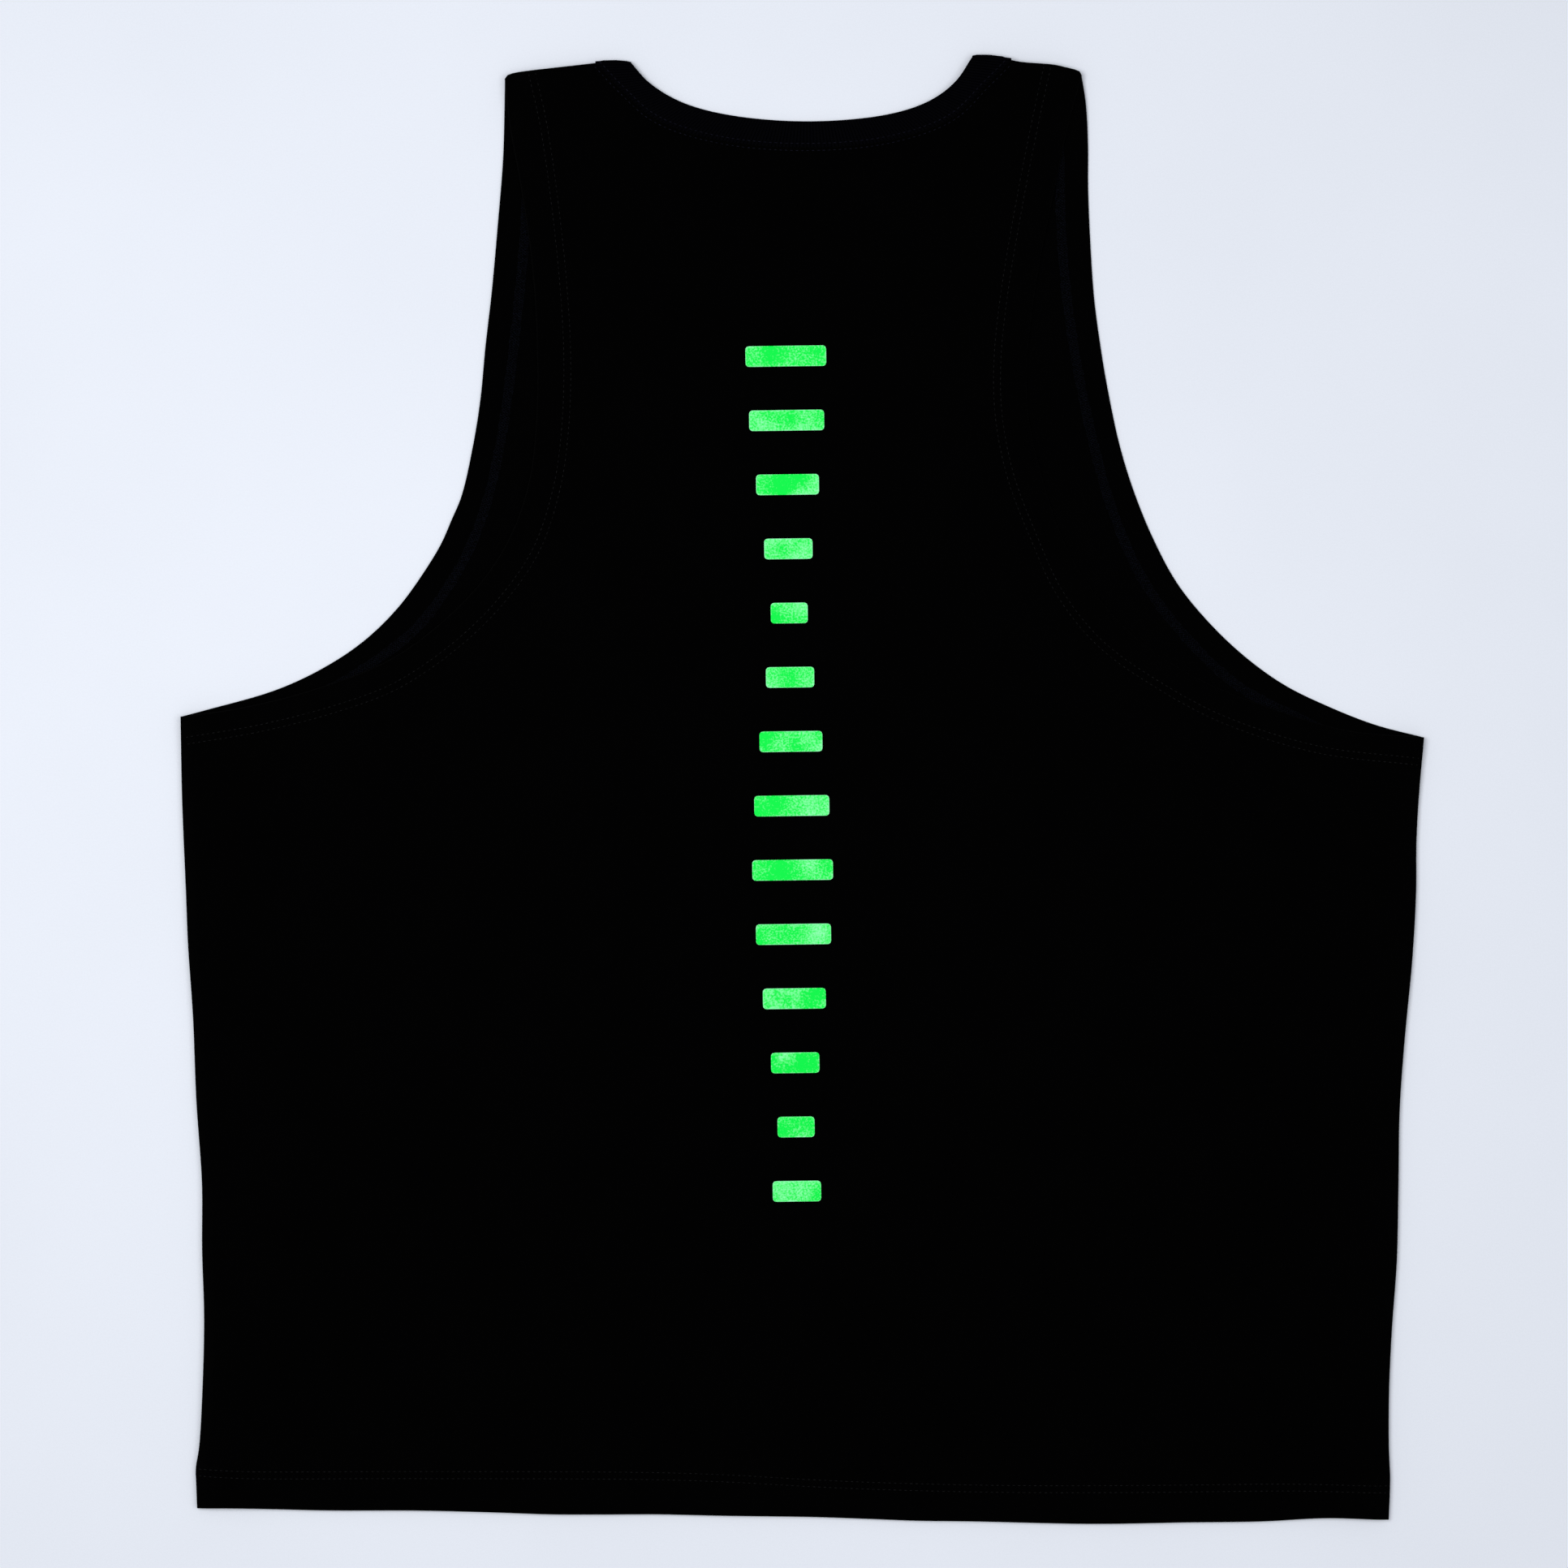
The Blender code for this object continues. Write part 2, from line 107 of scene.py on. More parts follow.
# The neckband's folded free edge, left to right: x, y
BACK_FREE = (
    (-82.5, 350.2), (-74, 341), (-59, 332), (-35, 325.5), (4, 322.5), (42, 326), (62, 332.6),
    (74, 341.5), (82, 353.2),
)
FRONT_FREE = (
    (-82.5, 350.2), (-84, 325), (-79, 298), (-66.5, 276), (-41, 254.5), (-1.5, 243.5),
    (39, 254.5), (63.5, 276), (76.5, 298), (83.5, 325), (82, 353.2),
)
# Where the cloth is lifted off the table: x, y, reach x, reach y, height
LIFTS = (
    (-118, 362, 62, 62, 3), (114, 364, 62, 70, 3.4), (-318, 44, 55, 42, 2.2),
    (318, 32, 50, 46, 2.6),
)
# Broad folds of the back panel: x, y, angle in degrees, length, width, height
FOLDS = (
    (-214, 22, -38, 150, 70, 1.8), (206, 2, 216, 160, 76, 1.6), (-186, -150, 84, 300, 84, 1.4),
    (168, -190, 97, 280, 90, 1.6), (-60, -245, 62, 190, 80, 1), (52, 60, 104, 240, 78, 1.1),
    (-72, 128, 74, 200, 66, 1.2), (-262, -255, 78, 170, 62, 1.5), (252, -96, 92, 190, 60, 1.5),
    (-20, -118, 24, 250, 96, 0.8), (96, -48, 152, 210, 84, 0.7), (-124, -30, 118, 190, 72, 0.9),
    (110, -300, 12, 180, 60, 0.8),
)
SIDE_PUFF = 1.4  # how far the back panel stands off the front along the side seams
SIDE_PUFF_REACH = 52.0
DRAPE = 15.0  # how far from a step in what lies below it the back panel starts to rise
SCOOP_DRAPE = 38.0
SCOOP_HOLD = 3.0  # how far past the front neckband's free edge the back panel stays up

# ---- sewing and finer form
# The coverstitch line nearer each armhole's edge: left x, left y, right x, right y
BACK_ARM_STITCH = (
    (-132, 345.5, 119.8, 348.4), (-126.5, 320.5, 114.5, 324), (-120.5, 278, 106.5, 283),
    (-116.5, 238, 99, 238), (-115, 206, 95.8, 206), (-116, 175, 96.5, 180), (-120, 146, 102, 152),
    (-130, 116, 112.5, 124), (-146.5, 92, 126, 95), (-168, 71, 145, 71.5),
    (-196.5, 51.5, 173, 51.5), (-225, 40.5, 203, 35.5), (-262, 31, 248, 21),
    (-298, 24.8, 298.5, 14.7),
)
FRONT_ARM_STITCH = (
    (-134.4, 345.2, 123.8, 347.8), (-134.5, 310, 125.8, 305), (-135.2, 275.5, 127, 265),
    (-139.7, 224.5, 131.5, 222), (-147, 169.5, 140, 177), (-154.5, 137, 151, 136.2),
    (-165.8, 109.5, 166.3, 101.5), (-186, 80.4, 188, 72.8), (-206.8, 63.4, 211.8, 50.9),
    (-226.7, 51, 234.7, 38.5), (-251.5, 39.5, 266.5, 24.6), (-298, 26, 298.5, 16),
)
# The upper coverstitch line of the bottom hem: x, y
HEM_STITCH = (
    (-292, -327.8), (-262, -329.2), (-192, -329.2), (-74, -329.7), (-35, -330.9), (4.5, -333.1),
    (44, -334.7), (103, -335.9), (161, -335.9), (240, -335.2), (283, -336),
)
GAUGE = 3.3  # between the two needles
NECK_STITCH = 1.7  # each side of the neck seam
PITCH = 2.6
STITCH_LENGTH = 1.9
THREAD = 0.36  # a thread's width
GROOVE = 0.24  # how deep the stitches pull the cloth
GROOVE_WIDTH = 0.75
PUCKER = 0.13  # height of the small waves that the stitches leave beside them
PUCKER_PITCH = 6.1
PUCKER_REACH = 7.0
PUCKER_DRIFT, PUCKER_DRIFT_RUN = 1.7, 17.0  # how unevenly they are spaced
PUCKER_SWELL, PUCKER_SWELL_RUN = 0.4, 23.0  # how unevenly high they are

# Finer creases: x, y, angle in degrees, length, width, height, bend
BACK_CREASES = (
    (-252, 8, -24, 92, 15, 0.75, 6), (-238, -18, -46, 118, 21, 0.62, -8),
    (-206, 34, -58, 84, 13, 0.50, 5), (-176, 46, -66, 104, 17, -0.42, 7),
    (-271, -66, 82, 128, 19, 0.66, 5), (-256, -168, 94, 142, 23, 0.55, -6),
    (-222, -282, 71, 88, 17, 0.60, 6), (-158, -306, 84, 62, 14, 0.45, -3),
    (-96, -296, 98, 74, 18, 0.40, 4), (-18, -312, 87, 50, 13, 0.36, 2),
    (64, -304, 80, 70, 17, 0.44, -4), (151, -309, 96, 58, 13, 0.48, 3),
    (226, -290, 104, 96, 20, 0.56, -5), (262, -214, 88, 150, 21, 0.62, 6),
    (270, -40, 97, 122, 18, 0.70, -6), (246, -4, 28, 104, 16, 0.72, 7),
    (224, -26, 47, 130, 22, 0.55, -9), (186, 28, 61, 86, 14, 0.52, 5),
    (158, 36, 70, 110, 18, -0.40, 6), (-92, 196, 78, 96, 15, 0.42, 4),
    (-101, 268, 96, 84, 14, 0.50, 3), (-84, 300, 124, 66, 12, 0.45, -3),
    (74, 196, 101, 104, 16, 0.40, -4), (84, 262, 86, 88, 14, 0.48, 3),
    (88, 306, 58, 60, 12, 0.46, 3), (-40, 286, 8, 84, 15, 0.34, -4),
    (44, 282, 172, 78, 14, 0.32, 4), (-60, -20, 62, 168, 30, 0.44, 10),
    (78, -126, 118, 186, 32, 0.46, -11), (-128, -206, 106, 152, 27, 0.48, 8),
    (34, -214, 66, 138, 25, 0.38, -7), (118, 66, 108, 132, 24, 0.42, 7),
    (-34, 92, 96, 146, 26, 0.34, -6),
)
FRONT_EDGE_CALM = 26.0  # the front panel's creases fade this near to its edges
FRONT_CREASES = (
    (-236, -6, -34, 120, 24, 0.75, 7), (-202, 26, -55, 96, 18, 0.60, -6),
    (-262, -128, 86, 150, 24, 0.70, 5), (-232, -268, 74, 110, 22, 0.62, -6),
    (-120, -290, 94, 84, 20, 0.50, 4), (16, -300, 84, 72, 18, 0.42, -3),
    (140, -284, 78, 92, 21, 0.55, 4), (246, -244, 98, 128, 22, 0.64, -5),
    (266, -84, 93, 144, 22, 0.72, 6), (232, -14, 37, 118, 22, 0.70, -7),
    (190, 30, 58, 92, 18, 0.55, 5), (-118, 250, 88, 110, 18, 0.55, 4),
    (116, 250, 93, 116, 18, 0.55, -4), (-66, 206, 38, 90, 20, 0.46, 5),
    (62, 204, 140, 96, 20, 0.46, -5), (-72, -60, 66, 190, 38, 0.50, 11),
    (88, -96, 112, 176, 36, 0.52, -10), (-8, 96, 97, 150, 34, 0.40, 6),
    (-150, -176, 101, 140, 30, 0.46, -7), (22, -196, 72, 150, 32, 0.42, 8),
)

# Flat bars of film down the middle of the back: share of the column's full width
BAR_SHARES = (1.0, 0.93, 0.78, 0.6, 0.46, 0.6, 0.78, 0.93, 1.0, 0.93, 0.78, 0.6, 0.46, 0.6)
BAR_WIDTH = 39.0
BAR_HEIGHT = 10.0
BAR_ROUND, BAR_ROUND_TURN = 1.6, 18  # corner radius, and degrees between its points
BAR_STEP = 1.1
COLUMN_TOP = (-8.0, 214.0)
COLUMN_BOTTOM = (-2.5, -199.0)
FILM = 0.14  # how far the film stands on the cloth
FILM_ROUND = 0.2
FILM_RIM = 0.5  # the width of the rim painted lighter, as a painted highlight
FILM_RIM_FULL = 1.25  # the painted highlight rim's strength at the very edge, before it is capped at 1
FILM_RIM_CLEAR = 0.1
FILM_STEP = 1.7
FILM_HIDDEN_STEP = 3.0 * FILM_STEP

# Mesh spacing
CURVE_PARTS = 24  # between two given points of a curve
COARSE = 9.0  # along the lines from which heights are measured
NECK_COARSE = 6.0
EDGE_STEP = 2.4
SHOWN_STEP = 3.6
HIDDEN_STEP = 11.0
HEXAGON_CLEAR = 0.62  # how far the filling points stay from other points, in steps
SAME_PLACE = 1e-7
INSIDE_ONLY = 1  # the triangulation keeps what lies inside the edge
HEM_STEP = 3.0
HEM_CLEAR = 1.0
EDGE_ROWS = ((1.6, 0.7), (3.2, 1.2), (5.6, 1.8))  # distance from the edge, least spacing
STITCH_ROWS = ((0.0, 0.9), (0.75, 0.6), (1.65, 0.8), (3.4, 1.3))  # from the stitches, spacing
RIM_TURNS = (0.25, 0.5, 0.75)  # where a cloth edge's rounding has points, in half turns

# The neckband
BAND_WIDTH = 12.0
BAND_CLEAR = 0.02  # between its upper half and the back panel's inner side
BAND_RUN_STEP, BAND_FINE_STEP = 2.0, 1.0
STATION_STEP = 0.34
RIB_PITCH = 1.7
RIB_RELIEF = 0.26
RIB_PINCH, RIB_PINCH_WIDTH = 0.75, 0.9  # how much, and how widely, stitches press the ribs flat
SEAM_TUCK = -0.2  # the band's sewn edge is tucked this far under the panel's


def smooth(value):
    held = np.clip(value, 0.0, 1.0)
    return held * held * (3.0 - 2.0 * held)


def side(table, right):
    rows = np.array(table)
    return rows[:, 2:4] if right else rows[:, 0:2]


def knot_point(controls, knots, t):
    level = list(controls)
    for spans in (((0, 1), (1, 2), (2, 3)), ((0, 2), (1, 3)), ((1, 2),)):
        made = []
        for i, (low, high) in enumerate(spans):
            share = (t - knots[low]) / (knots[high] - knots[low])
            made.append((1.0 - share) * level[i] + share * level[i + 1])
        level = made
    return level[0]


def line_run(line):
    return np.concatenate(([0.0], np.cumsum(np.linalg.norm(np.diff(line, axis=0), axis=1))))


def restep(line, count):
    run = line_run(line)
    stations = np.linspace(0.0, run[-1], count)
    return np.column_stack([np.interp(stations, run, line[:, axis]) for axis in (0, 1)])


def curve(points, step):
    """Points along a smooth curve through the given ones, about a step apart."""
    points = np.asarray(points, float)
    ends = (2 * points[0] - points[1], 2 * points[-1] - points[-2])
    held = np.vstack((ends[0], points, ends[1]))
    fine = [points[0]]
    for four in zip(held, held[1:], held[2:], held[3:]):
        gaps = [math.sqrt(np.linalg.norm(q - p)) for p, q in zip(four, four[1:])]
        knots = np.cumsum([0.0] + gaps)
        for part in np.linspace(0.0, 1.0, CURVE_PARTS + 1)[1:]:
            fine.append(knot_point(four, knots, knots[1] + part * gaps[1]))
    fine = np.array(fine)
    return restep(fine, max(2, int(round(line_run(fine)[-1] / step)) + 1))


def both(table, step):
    """The left and right curves of a table of x, y, x, y."""
    return [curve(side(table, right), step) for right in (False, True)]


def normals(line):
    """Unit normals to the left of an open line."""
    along = np.gradient(line, axis=0)
    along /= np.linalg.norm(along, axis=1)[:, None]
    return np.column_stack((-along[:, 1], along[:, 0]))


def beside(line, distance):
    return line + normals(line) * distance


def place_on(points, line):
    """Distance from each point to a line, and how far along it the nearest place is."""
    nearest = np.full(len(points), np.inf)
    along = np.zeros(len(points))
    run = line_run(line)
    for start, end, before in zip(line, line[1:], run):
        way = end - start
        length = math.hypot(*way)
        share = np.clip((points - start) @ way / (length * length), 0.0, 1.0)
        gap = np.linalg.norm(points - start - share[:, None] * way, axis=1)
        closer = gap < nearest
        nearest[closer] = gap[closer]
        along[closer] = before + share[closer] * length
    return nearest, along


def edge_distance(points, line):
    return place_on(points, line)[0]


def inside(points, line):
    held = np.zeros(len(points), bool)
    x, y = points[:, 0], points[:, 1]
    for (ax, ay), (bx, by) in zip(line, np.roll(line, -1, axis=0)):
        if ay != by:
            crossed = (ay > y) != (by > y)
            held ^= crossed & (x < (bx - ax) * (y - ay) / (by - ay) + ax)
    return held


# ---- heights
SIDE_LINES = both(SIDES, COARSE)
SHOULDER_LINES = both(SHOULDERS, COARSE)
BOTTOM_LINE = curve(BOTTOM, COARSE)
FRONT_ARM_LINES = both(FRONT_ARMHOLES, COARSE)
BACK_ARM_LINES = both(BACK_ARMHOLES, COARSE)
BACK_NECK_LINE = curve(BACK_NECK, NECK_COARSE)
FRONT_NECK_LINE = curve(FRONT_NECK, NECK_COARSE)
FRONT_FREE_LINE = curve(FRONT_FREE, NECK_COARSE)


def lift(plan):
    """How far the table side of the cloth stands off the table."""
    height = np.zeros(len(plan))
    for x, y, reach_x, reach_y, top in LIFTS:
        far = np.hypot((plan[:, 0] - x) / reach_x, (plan[:, 1] - y) / reach_y)
        height += top * smooth(1.0 - far)
    return height


def creases(plan, table):
    """Soft ridges and troughs that run along gently bent lines and fade at their ends."""
    height = np.zeros(len(plan))
    for x, y, angle, length, width, top, *bend in table:
        turn = math.radians(angle)
        along = (plan[:, 0] - x) * math.cos(turn) + (plan[:, 1] - y) * math.sin(turn)
        across = -(plan[:, 0] - x) * math.sin(turn) + (plan[:, 1] - y) * math.cos(turn)
        if bend:
            across = across - bend[0] * (1.0 - (2.0 * along / length) ** 2)
        sides = smooth(1.0 - np.abs(across) * 2.0 / width)
        height += top * sides * smooth(1.0 - np.abs(along) * 2.0 / length)
    return height


def side_puff(plan):
    """The air held between the panels along the side seams."""
    height = np.zeros(len(plan))
    for line in SIDE_LINES:
        share = np.clip(edge_distance(plan, line) / SIDE_PUFF_REACH, 0.0, 1.0)
        height += SIDE_PUFF * np.sin(math.pi * np.sqrt(share)) ** 2
    return height


def band_runs(arms, neck):
    """The lines along which cloth is turned in, and how wide its doubled part is."""
    runs = [(line, SHOULDER_SEAM) for line in SHOULDER_LINES]
    runs += [(line, ARMHOLE_HEM) for line in arms]
    runs += [(line, SIDE_SEAM) for line in SIDE_LINES]
    return runs + [(BOTTOM_LINE, BOTTOM_HEM), (neck, NECK_SEAM)]


def band_share(plan, arms, neck):
    """How much of the turned thickness each plan point has."""
    share = np.zeros(len(plan))
    for line, width in band_runs(arms, neck):
        far = edge_distance(plan, line)
        share = np.maximum(share, smooth((width + BAND_STEP - far) / (2.0 * BAND_STEP)))
    return share


def support(plan):
    """What lies under the back panel, drawn out so that the cloth over it slopes softly."""
    height = np.full(len(plan), WALL)
    runs = [(line, ARMHOLE_HEM) for line in FRONT_ARM_LINES]
    runs += [(line, SIDE_SEAM) for line in SIDE_LINES]
    runs += [(line, SHOULDER_SEAM) for line in SHOULDER_LINES]
    runs += [(BOTTOM_LINE, BOTTOM_HEM)]
    for line, width in runs:
        rise = smooth((width + BAND_STEP + DRAPE - edge_distance(plan, line)) / DRAPE)
        height = np.maximum(height, WALL + (TURNED - WALL) * rise)
    seam_far = edge_distance(plan, FRONT_NECK_LINE)
    free_far = edge_distance(plan, FRONT_FREE_LINE)
    outer = WALL + (RIB - WALL) * smooth((NECK_SEAM + DRAPE - seam_far) / DRAPE)
    over = inside(plan, FRONT_FREE_LINE)
    inner = np.where(over, RIB * smooth((SCOOP_DRAPE + SCOOP_HOLD - free_far) / SCOOP_DRAPE), RIB)
    return np.where(inside(plan, FRONT_NECK_LINE), inner, np.maximum(height, outer))


def front_low(plan):
    """The front panel's table side, without its stitches."""
    edges = np.full(len(plan), np.inf)
    for line in FRONT_ARM_LINES + SIDE_LINES + SHOULDER_LINES + [BOTTOM_LINE, FRONT_NECK_LINE]:
        edges = np.minimum(edges, edge_distance(plan, line))
    return lift(plan) + creases(plan, FRONT_CREASES) * smooth(edges / FRONT_EDGE_CALM)


def stitched(plan, lines):
    """How far stitch lines pull the cloth in, and the puckers that they leave beside them."""
    height = np.zeros(len(plan))
    for number, line in enumerate(lines):
        far, along = place_on(plan, line)
        height -= GROOVE * np.exp(-((far / GROOVE_WIDTH) ** 2))
        drift = PUCKER_DRIFT * np.sin(along / PUCKER_DRIFT_RUN + number)
        phase = 2.0 * math.pi * along / PUCKER_PITCH + drift
        swell = PUCKER_SWELL * np.sin(along / PUCKER_SWELL_RUN + 2.0 * number)
        swell += 1.0 - PUCKER_SWELL
        height += PUCKER * swell * np.sin(phase) * smooth(1.0 - far / PUCKER_REACH)
    return height


def twin(line, gauge):
    """The coverstitch's two needle lines."""
    return [line, beside(line, gauge)]


def arm_stitches(table):
    left, right = both(table, EDGE_STEP)
    return twin(left, GAUGE) + twin(right, -GAUGE)


HEM_LINES = twin(curve(HEM_STITCH, EDGE_STEP), -GAUGE)
NECK_BODY_LINE = beside(curve(BACK_NECK, EDGE_STEP), -NECK_STITCH)
NECK_BAND_LINE = beside(curve(BACK_NECK, EDGE_STEP), NECK_STITCH)
NECK_BODY_FRONT = beside(curve(FRONT_NECK, EDGE_STEP), -NECK_STITCH)
NECK_BAND_FRONT = beside(curve(FRONT_NECK, EDGE_STEP), NECK_STITCH)
BACK_HEMS = arm_stitches(BACK_ARM_STITCH) + HEM_LINES
FRONT_HEMS = arm_stitches(FRONT_ARM_STITCH) + HEM_LINES
BACK_STITCHES = BACK_HEMS + [NECK_BODY_LINE]
FRONT_STITCHES = FRONT_HEMS + [NECK_BODY_FRONT]


def back_low(plan):
    """The back panel's inner side."""
    close = np.full(len(plan), np.inf)
    for line in SIDE_LINES + SHOULDER_LINES:
        close = np.minimum(close, edge_distance(plan, line))
    gap = LAYER_GAP - SEAM_PRESS * smooth(1.0 - close / SEAM_PRESS_REACH)
    return front_low(plan) + support(plan) + gap + creases(plan, FOLDS) + side_puff(plan)


def back_high(plan):
    wall = WALL + (TURNED - WALL) * band_share(plan, BACK_ARM_LINES, BACK_NECK_LINE)
    fine = creases(plan, BACK_CREASES) + stitched(plan, BACK_STITCHES)
    return back_low(plan) + wall + fine


def front_high(plan):
    turned = band_share(plan, FRONT_ARM_LINES, FRONT_NECK_LINE)
    return front_low(plan) + WALL + (TURNED - WALL) * turned


def front_under(plan):
    """The front panel's outer side, which lies on the table; its stitches pull it in upward."""
    return front_low(plan) + np.maximum(PUCKER - stitched(plan, FRONT_STITCHES), 0.0)


# ---- meshes
def outline(armholes, neck):
    """A panel's edge, anticlockwise from the left end of its neck seam."""
    edges = (
        side(SHOULDERS, False),
        side(armholes, False),
        side(SIDES, False),
        np.array(BOTTOM),
        side(SIDES, True)[::-1],
        side(armholes, True)[::-1],
        side(SHOULDERS, True)[::-1],
        np.array(neck)[::-1],
    )
    return np.vstack([curve(table, EDGE_STEP)[:-1] for table in edges])


def inset(ring, distance):
    """A closed ring moved in by a distance."""
    along = np.roll(ring, -1, axis=0) - np.roll(ring, 1, axis=0)
    along /= np.linalg.norm(along, axis=1)[:, None]
    return ring + np.column_stack((-along[:, 1], along[:, 0])) * distance


def crowd_out(kept, families, boundary):
    """Adds each family's points that lie inside and clear of those already kept."""
    for points, least in families:
        tree = KDTree(len(kept))
        for i, (x, y) in enumerate(kept):
            tree.insert((x, y, 0.0), i)
        tree.balance()
        held = points[inside(points, boundary)]
        clear = [p for p in held if tree.find((p[0], p[1], 0.0))[2] > least]
        if clear:
            kept = np.vstack((kept, clear))
    return kept


def hexagons(boundary, step):
    """Staggered rows of points over a boundary's box."""
    low, high = boundary.min(axis=0), boundary.max(axis=0)
    rows = []
    for number, y in enumerate(np.arange(low[1], high[1], step * math.sqrt(3.0) / 2.0)):
        xs = np.arange(low[0] + (step / 2.0 if number % 2 else 0.0), high[0], step)
        rows.append(np.column_stack((xs, np.full(len(xs), y))))
    return np.vstack(rows)


def plan_tiles(edge, families, step):
    """Plan points and triangles inside an edge, whose points come first."""
    plan = crowd_out(edge, families + [(hexagons(edge, step), step * HEXAGON_CLEAR)], edge)
    count = len(edge)
    ring = [(i, (i + 1) % count) for i in range(count)]
    flat, _, faces, *_ = delaunay_2d_cdt(
        plan.tolist(), ring, [list(range(count))], INSIDE_ONLY, SAME_PLACE
    )
    return np.array(flat), np.array([f for f in faces if len(f) == 3])


def add_object(name, data):
    made = bpy.data.objects.new(name, data)
    bpy.context.collection.objects.link(made)
    return made


def make_piece(name, vertices, faces, material, slot_name, inner=None):
    """A scene piece; inner names the second material and the faces that take it."""
    mesh = bpy.data.meshes.new(name)
    corners = [[int(corner) for corner in face] for face in faces]
    mesh.from_pydata((np.asarray(vertices) * MM).tolist(), [], corners)
    mesh.polygons.foreach_set("use_smooth", [True] * len(mesh.polygons))
    mesh.materials.append(material)
    if inner:
        mesh.materials.append(inner[0])
        mesh.polygons.foreach_set("material_index", inner[1])
    mesh.update()
    piece = add_object(name, mesh)
    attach(piece, "root")
    return piece


def shell(outer, edge, high_tiles, low_tiles, high, low):
    """A closed cloth: upper and lower tiles that share the edge's ring, and a rounded rim."""
    high_plan, high_faces = high_tiles
    low_plan, low_faces = low_tiles
    count = len(edge)
    top = np.column_stack((high_plan, high(high_plan)))
    under = np.column_stack((low_plan, low(low_plan)))
    middle = (top[:count, 2] + under[:count, 2]) / 2.0
    half = (top[:count, 2] - under[:count, 2]) / 2.0
    rims = []
    for turn in RIM_TURNS:
        angle = math.pi * turn
        plan = edge + (outer - edge) * math.sin(angle)
        rims.append(np.column_stack((plan, middle + half * math.cos(angle))))
    vertices = np.vstack([top, under] + rims)
    rings = [np.arange(count)]
    start = len(top) + len(under)
    for _ in RIM_TURNS:
        rings.append(np.arange(start, start + count))
        start += count
    rings.append(np.arange(len(top), len(top) + count))
    faces = [high_faces, low_faces[:, ::-1] + len(top)]
    for upper, lower in zip(rings, rings[1:]):
        upper_next, lower_next = np.roll(upper, -1), np.roll(lower, -1)
        faces.append(np.column_stack((upper, lower, lower_next)))
        faces.append(np.column_stack((upper, lower_next, upper_next)))
    return vertices, np.vstack(faces)


def stitch_families(lines):
    """Rows of mesh points along and beside stitch lines, so that their grooves are true."""
    families = []
    for distance, least in STITCH_ROWS:
        for offset in sorted({distance, -distance}, reverse=True):
            families += [(beside(line, offset), least) for line in lines]
    return families


def edge_families(outer):
    return [(inset(outer, distance), least) for distance, least in EDGE_ROWS]


def hem_families(arms, neck):
    """Rows of mesh points along the step at which each turned hem ends; those that fall
    outside the panel are dropped later."""
    families = []
    for line, width in band_runs(arms, neck):
        close = restep(line, int(line_run(line)[-1] / HEM_STEP))
        for offset in (0.0, -BAND_STEP, BAND_STEP):
            families.append((beside(close, width + offset), HEM_CLEAR))
            families.append((beside(close, -width - offset), HEM_CLEAR))
    return families


def panel(name, armholes, neck, high, low, lines, shown_on_top, materials):
    """A panel's cloth; its inner side is the cloth's wrong side, but for the turned hems."""
    outer = outline(armholes, neck)
    arms = both(armholes, COARSE)
    neck_line = curve(neck, COARSE)
    edge = inset(outer, EDGE_ROUND)
    fine = plan_tiles(edge, edge_families(outer) + stitch_families(lines), SHOWN_STEP)
    plain = plan_tiles(edge, edge_families(outer) + hem_families(arms, neck_line), HIDDEN_STEP)
    tiles = (fine, plain) if shown_on_top else (plain, fine)
    vertices, faces = shell(outer, edge, *tiles, high, low)
    first = len(fine[1]) if shown_on_top else 0
    middles = plain[0][plain[1]].mean(axis=1)
    wrong = np.zeros(len(faces), int)
    wrong[first:first + len(plain[1])] = band_share(middles, arms, neck_line) < 0.5
    return make_piece(name, vertices, faces, materials[0], "jersey", (materials[1], wrong))


# The rib band's folded section: share of the way from seam to free edge, share of the way up
BAND_SECTION = (
    (0.0, 0.05), (0.07, 0.02), (0.14, 0.01), (0.22, 0.0), (0.55, 0.0), (0.84, 0.01),
    (0.90, 0.04), (0.935, 0.12), (0.958, 0.28), (0.965, 0.5), (0.958, 0.72), (0.935, 0.88),
    (0.90, 0.96), (0.84, 0.99), (0.55, 1.0), (0.22, 1.0), (0.14, 0.99), (0.07, 0.98),
    (0.0, 0.95), (0.0, 0.57), (0.5, 0.56), (0.87, 0.55), (0.90, 0.5), (0.87, 0.45),
    (0.5, 0.44), (0.0, 0.43),
)
OUTER_POINTS = 19  # the first points, which are the band's outer skin
FOLD_SHARE = 0.965  # the section's farthest share, which lies on the free edge's line
FOLD_STATIONS = 26
FOLD_RIBS = 4
# How far the half turn at a shoulder is pressed flat at its seam and at its free edge
FOLD_SEAM_PRESS, FOLD_SEAM_REACH = 0.4, 0.35
FOLD_FREE_PRESS, FOLD_FREE_START, FOLD_FREE_REACH = 0.45, 0.72, 0.22


def rib_ridge(count):
    """For each station along the band, 1 on a rib's ridge and 0 in the furrow beside it."""
    furrow = 1.0 - np.abs(np.sin(math.pi * np.arange(count) * STATION_STEP / RIB_PITCH))
    return 1.0 - furrow ** 2


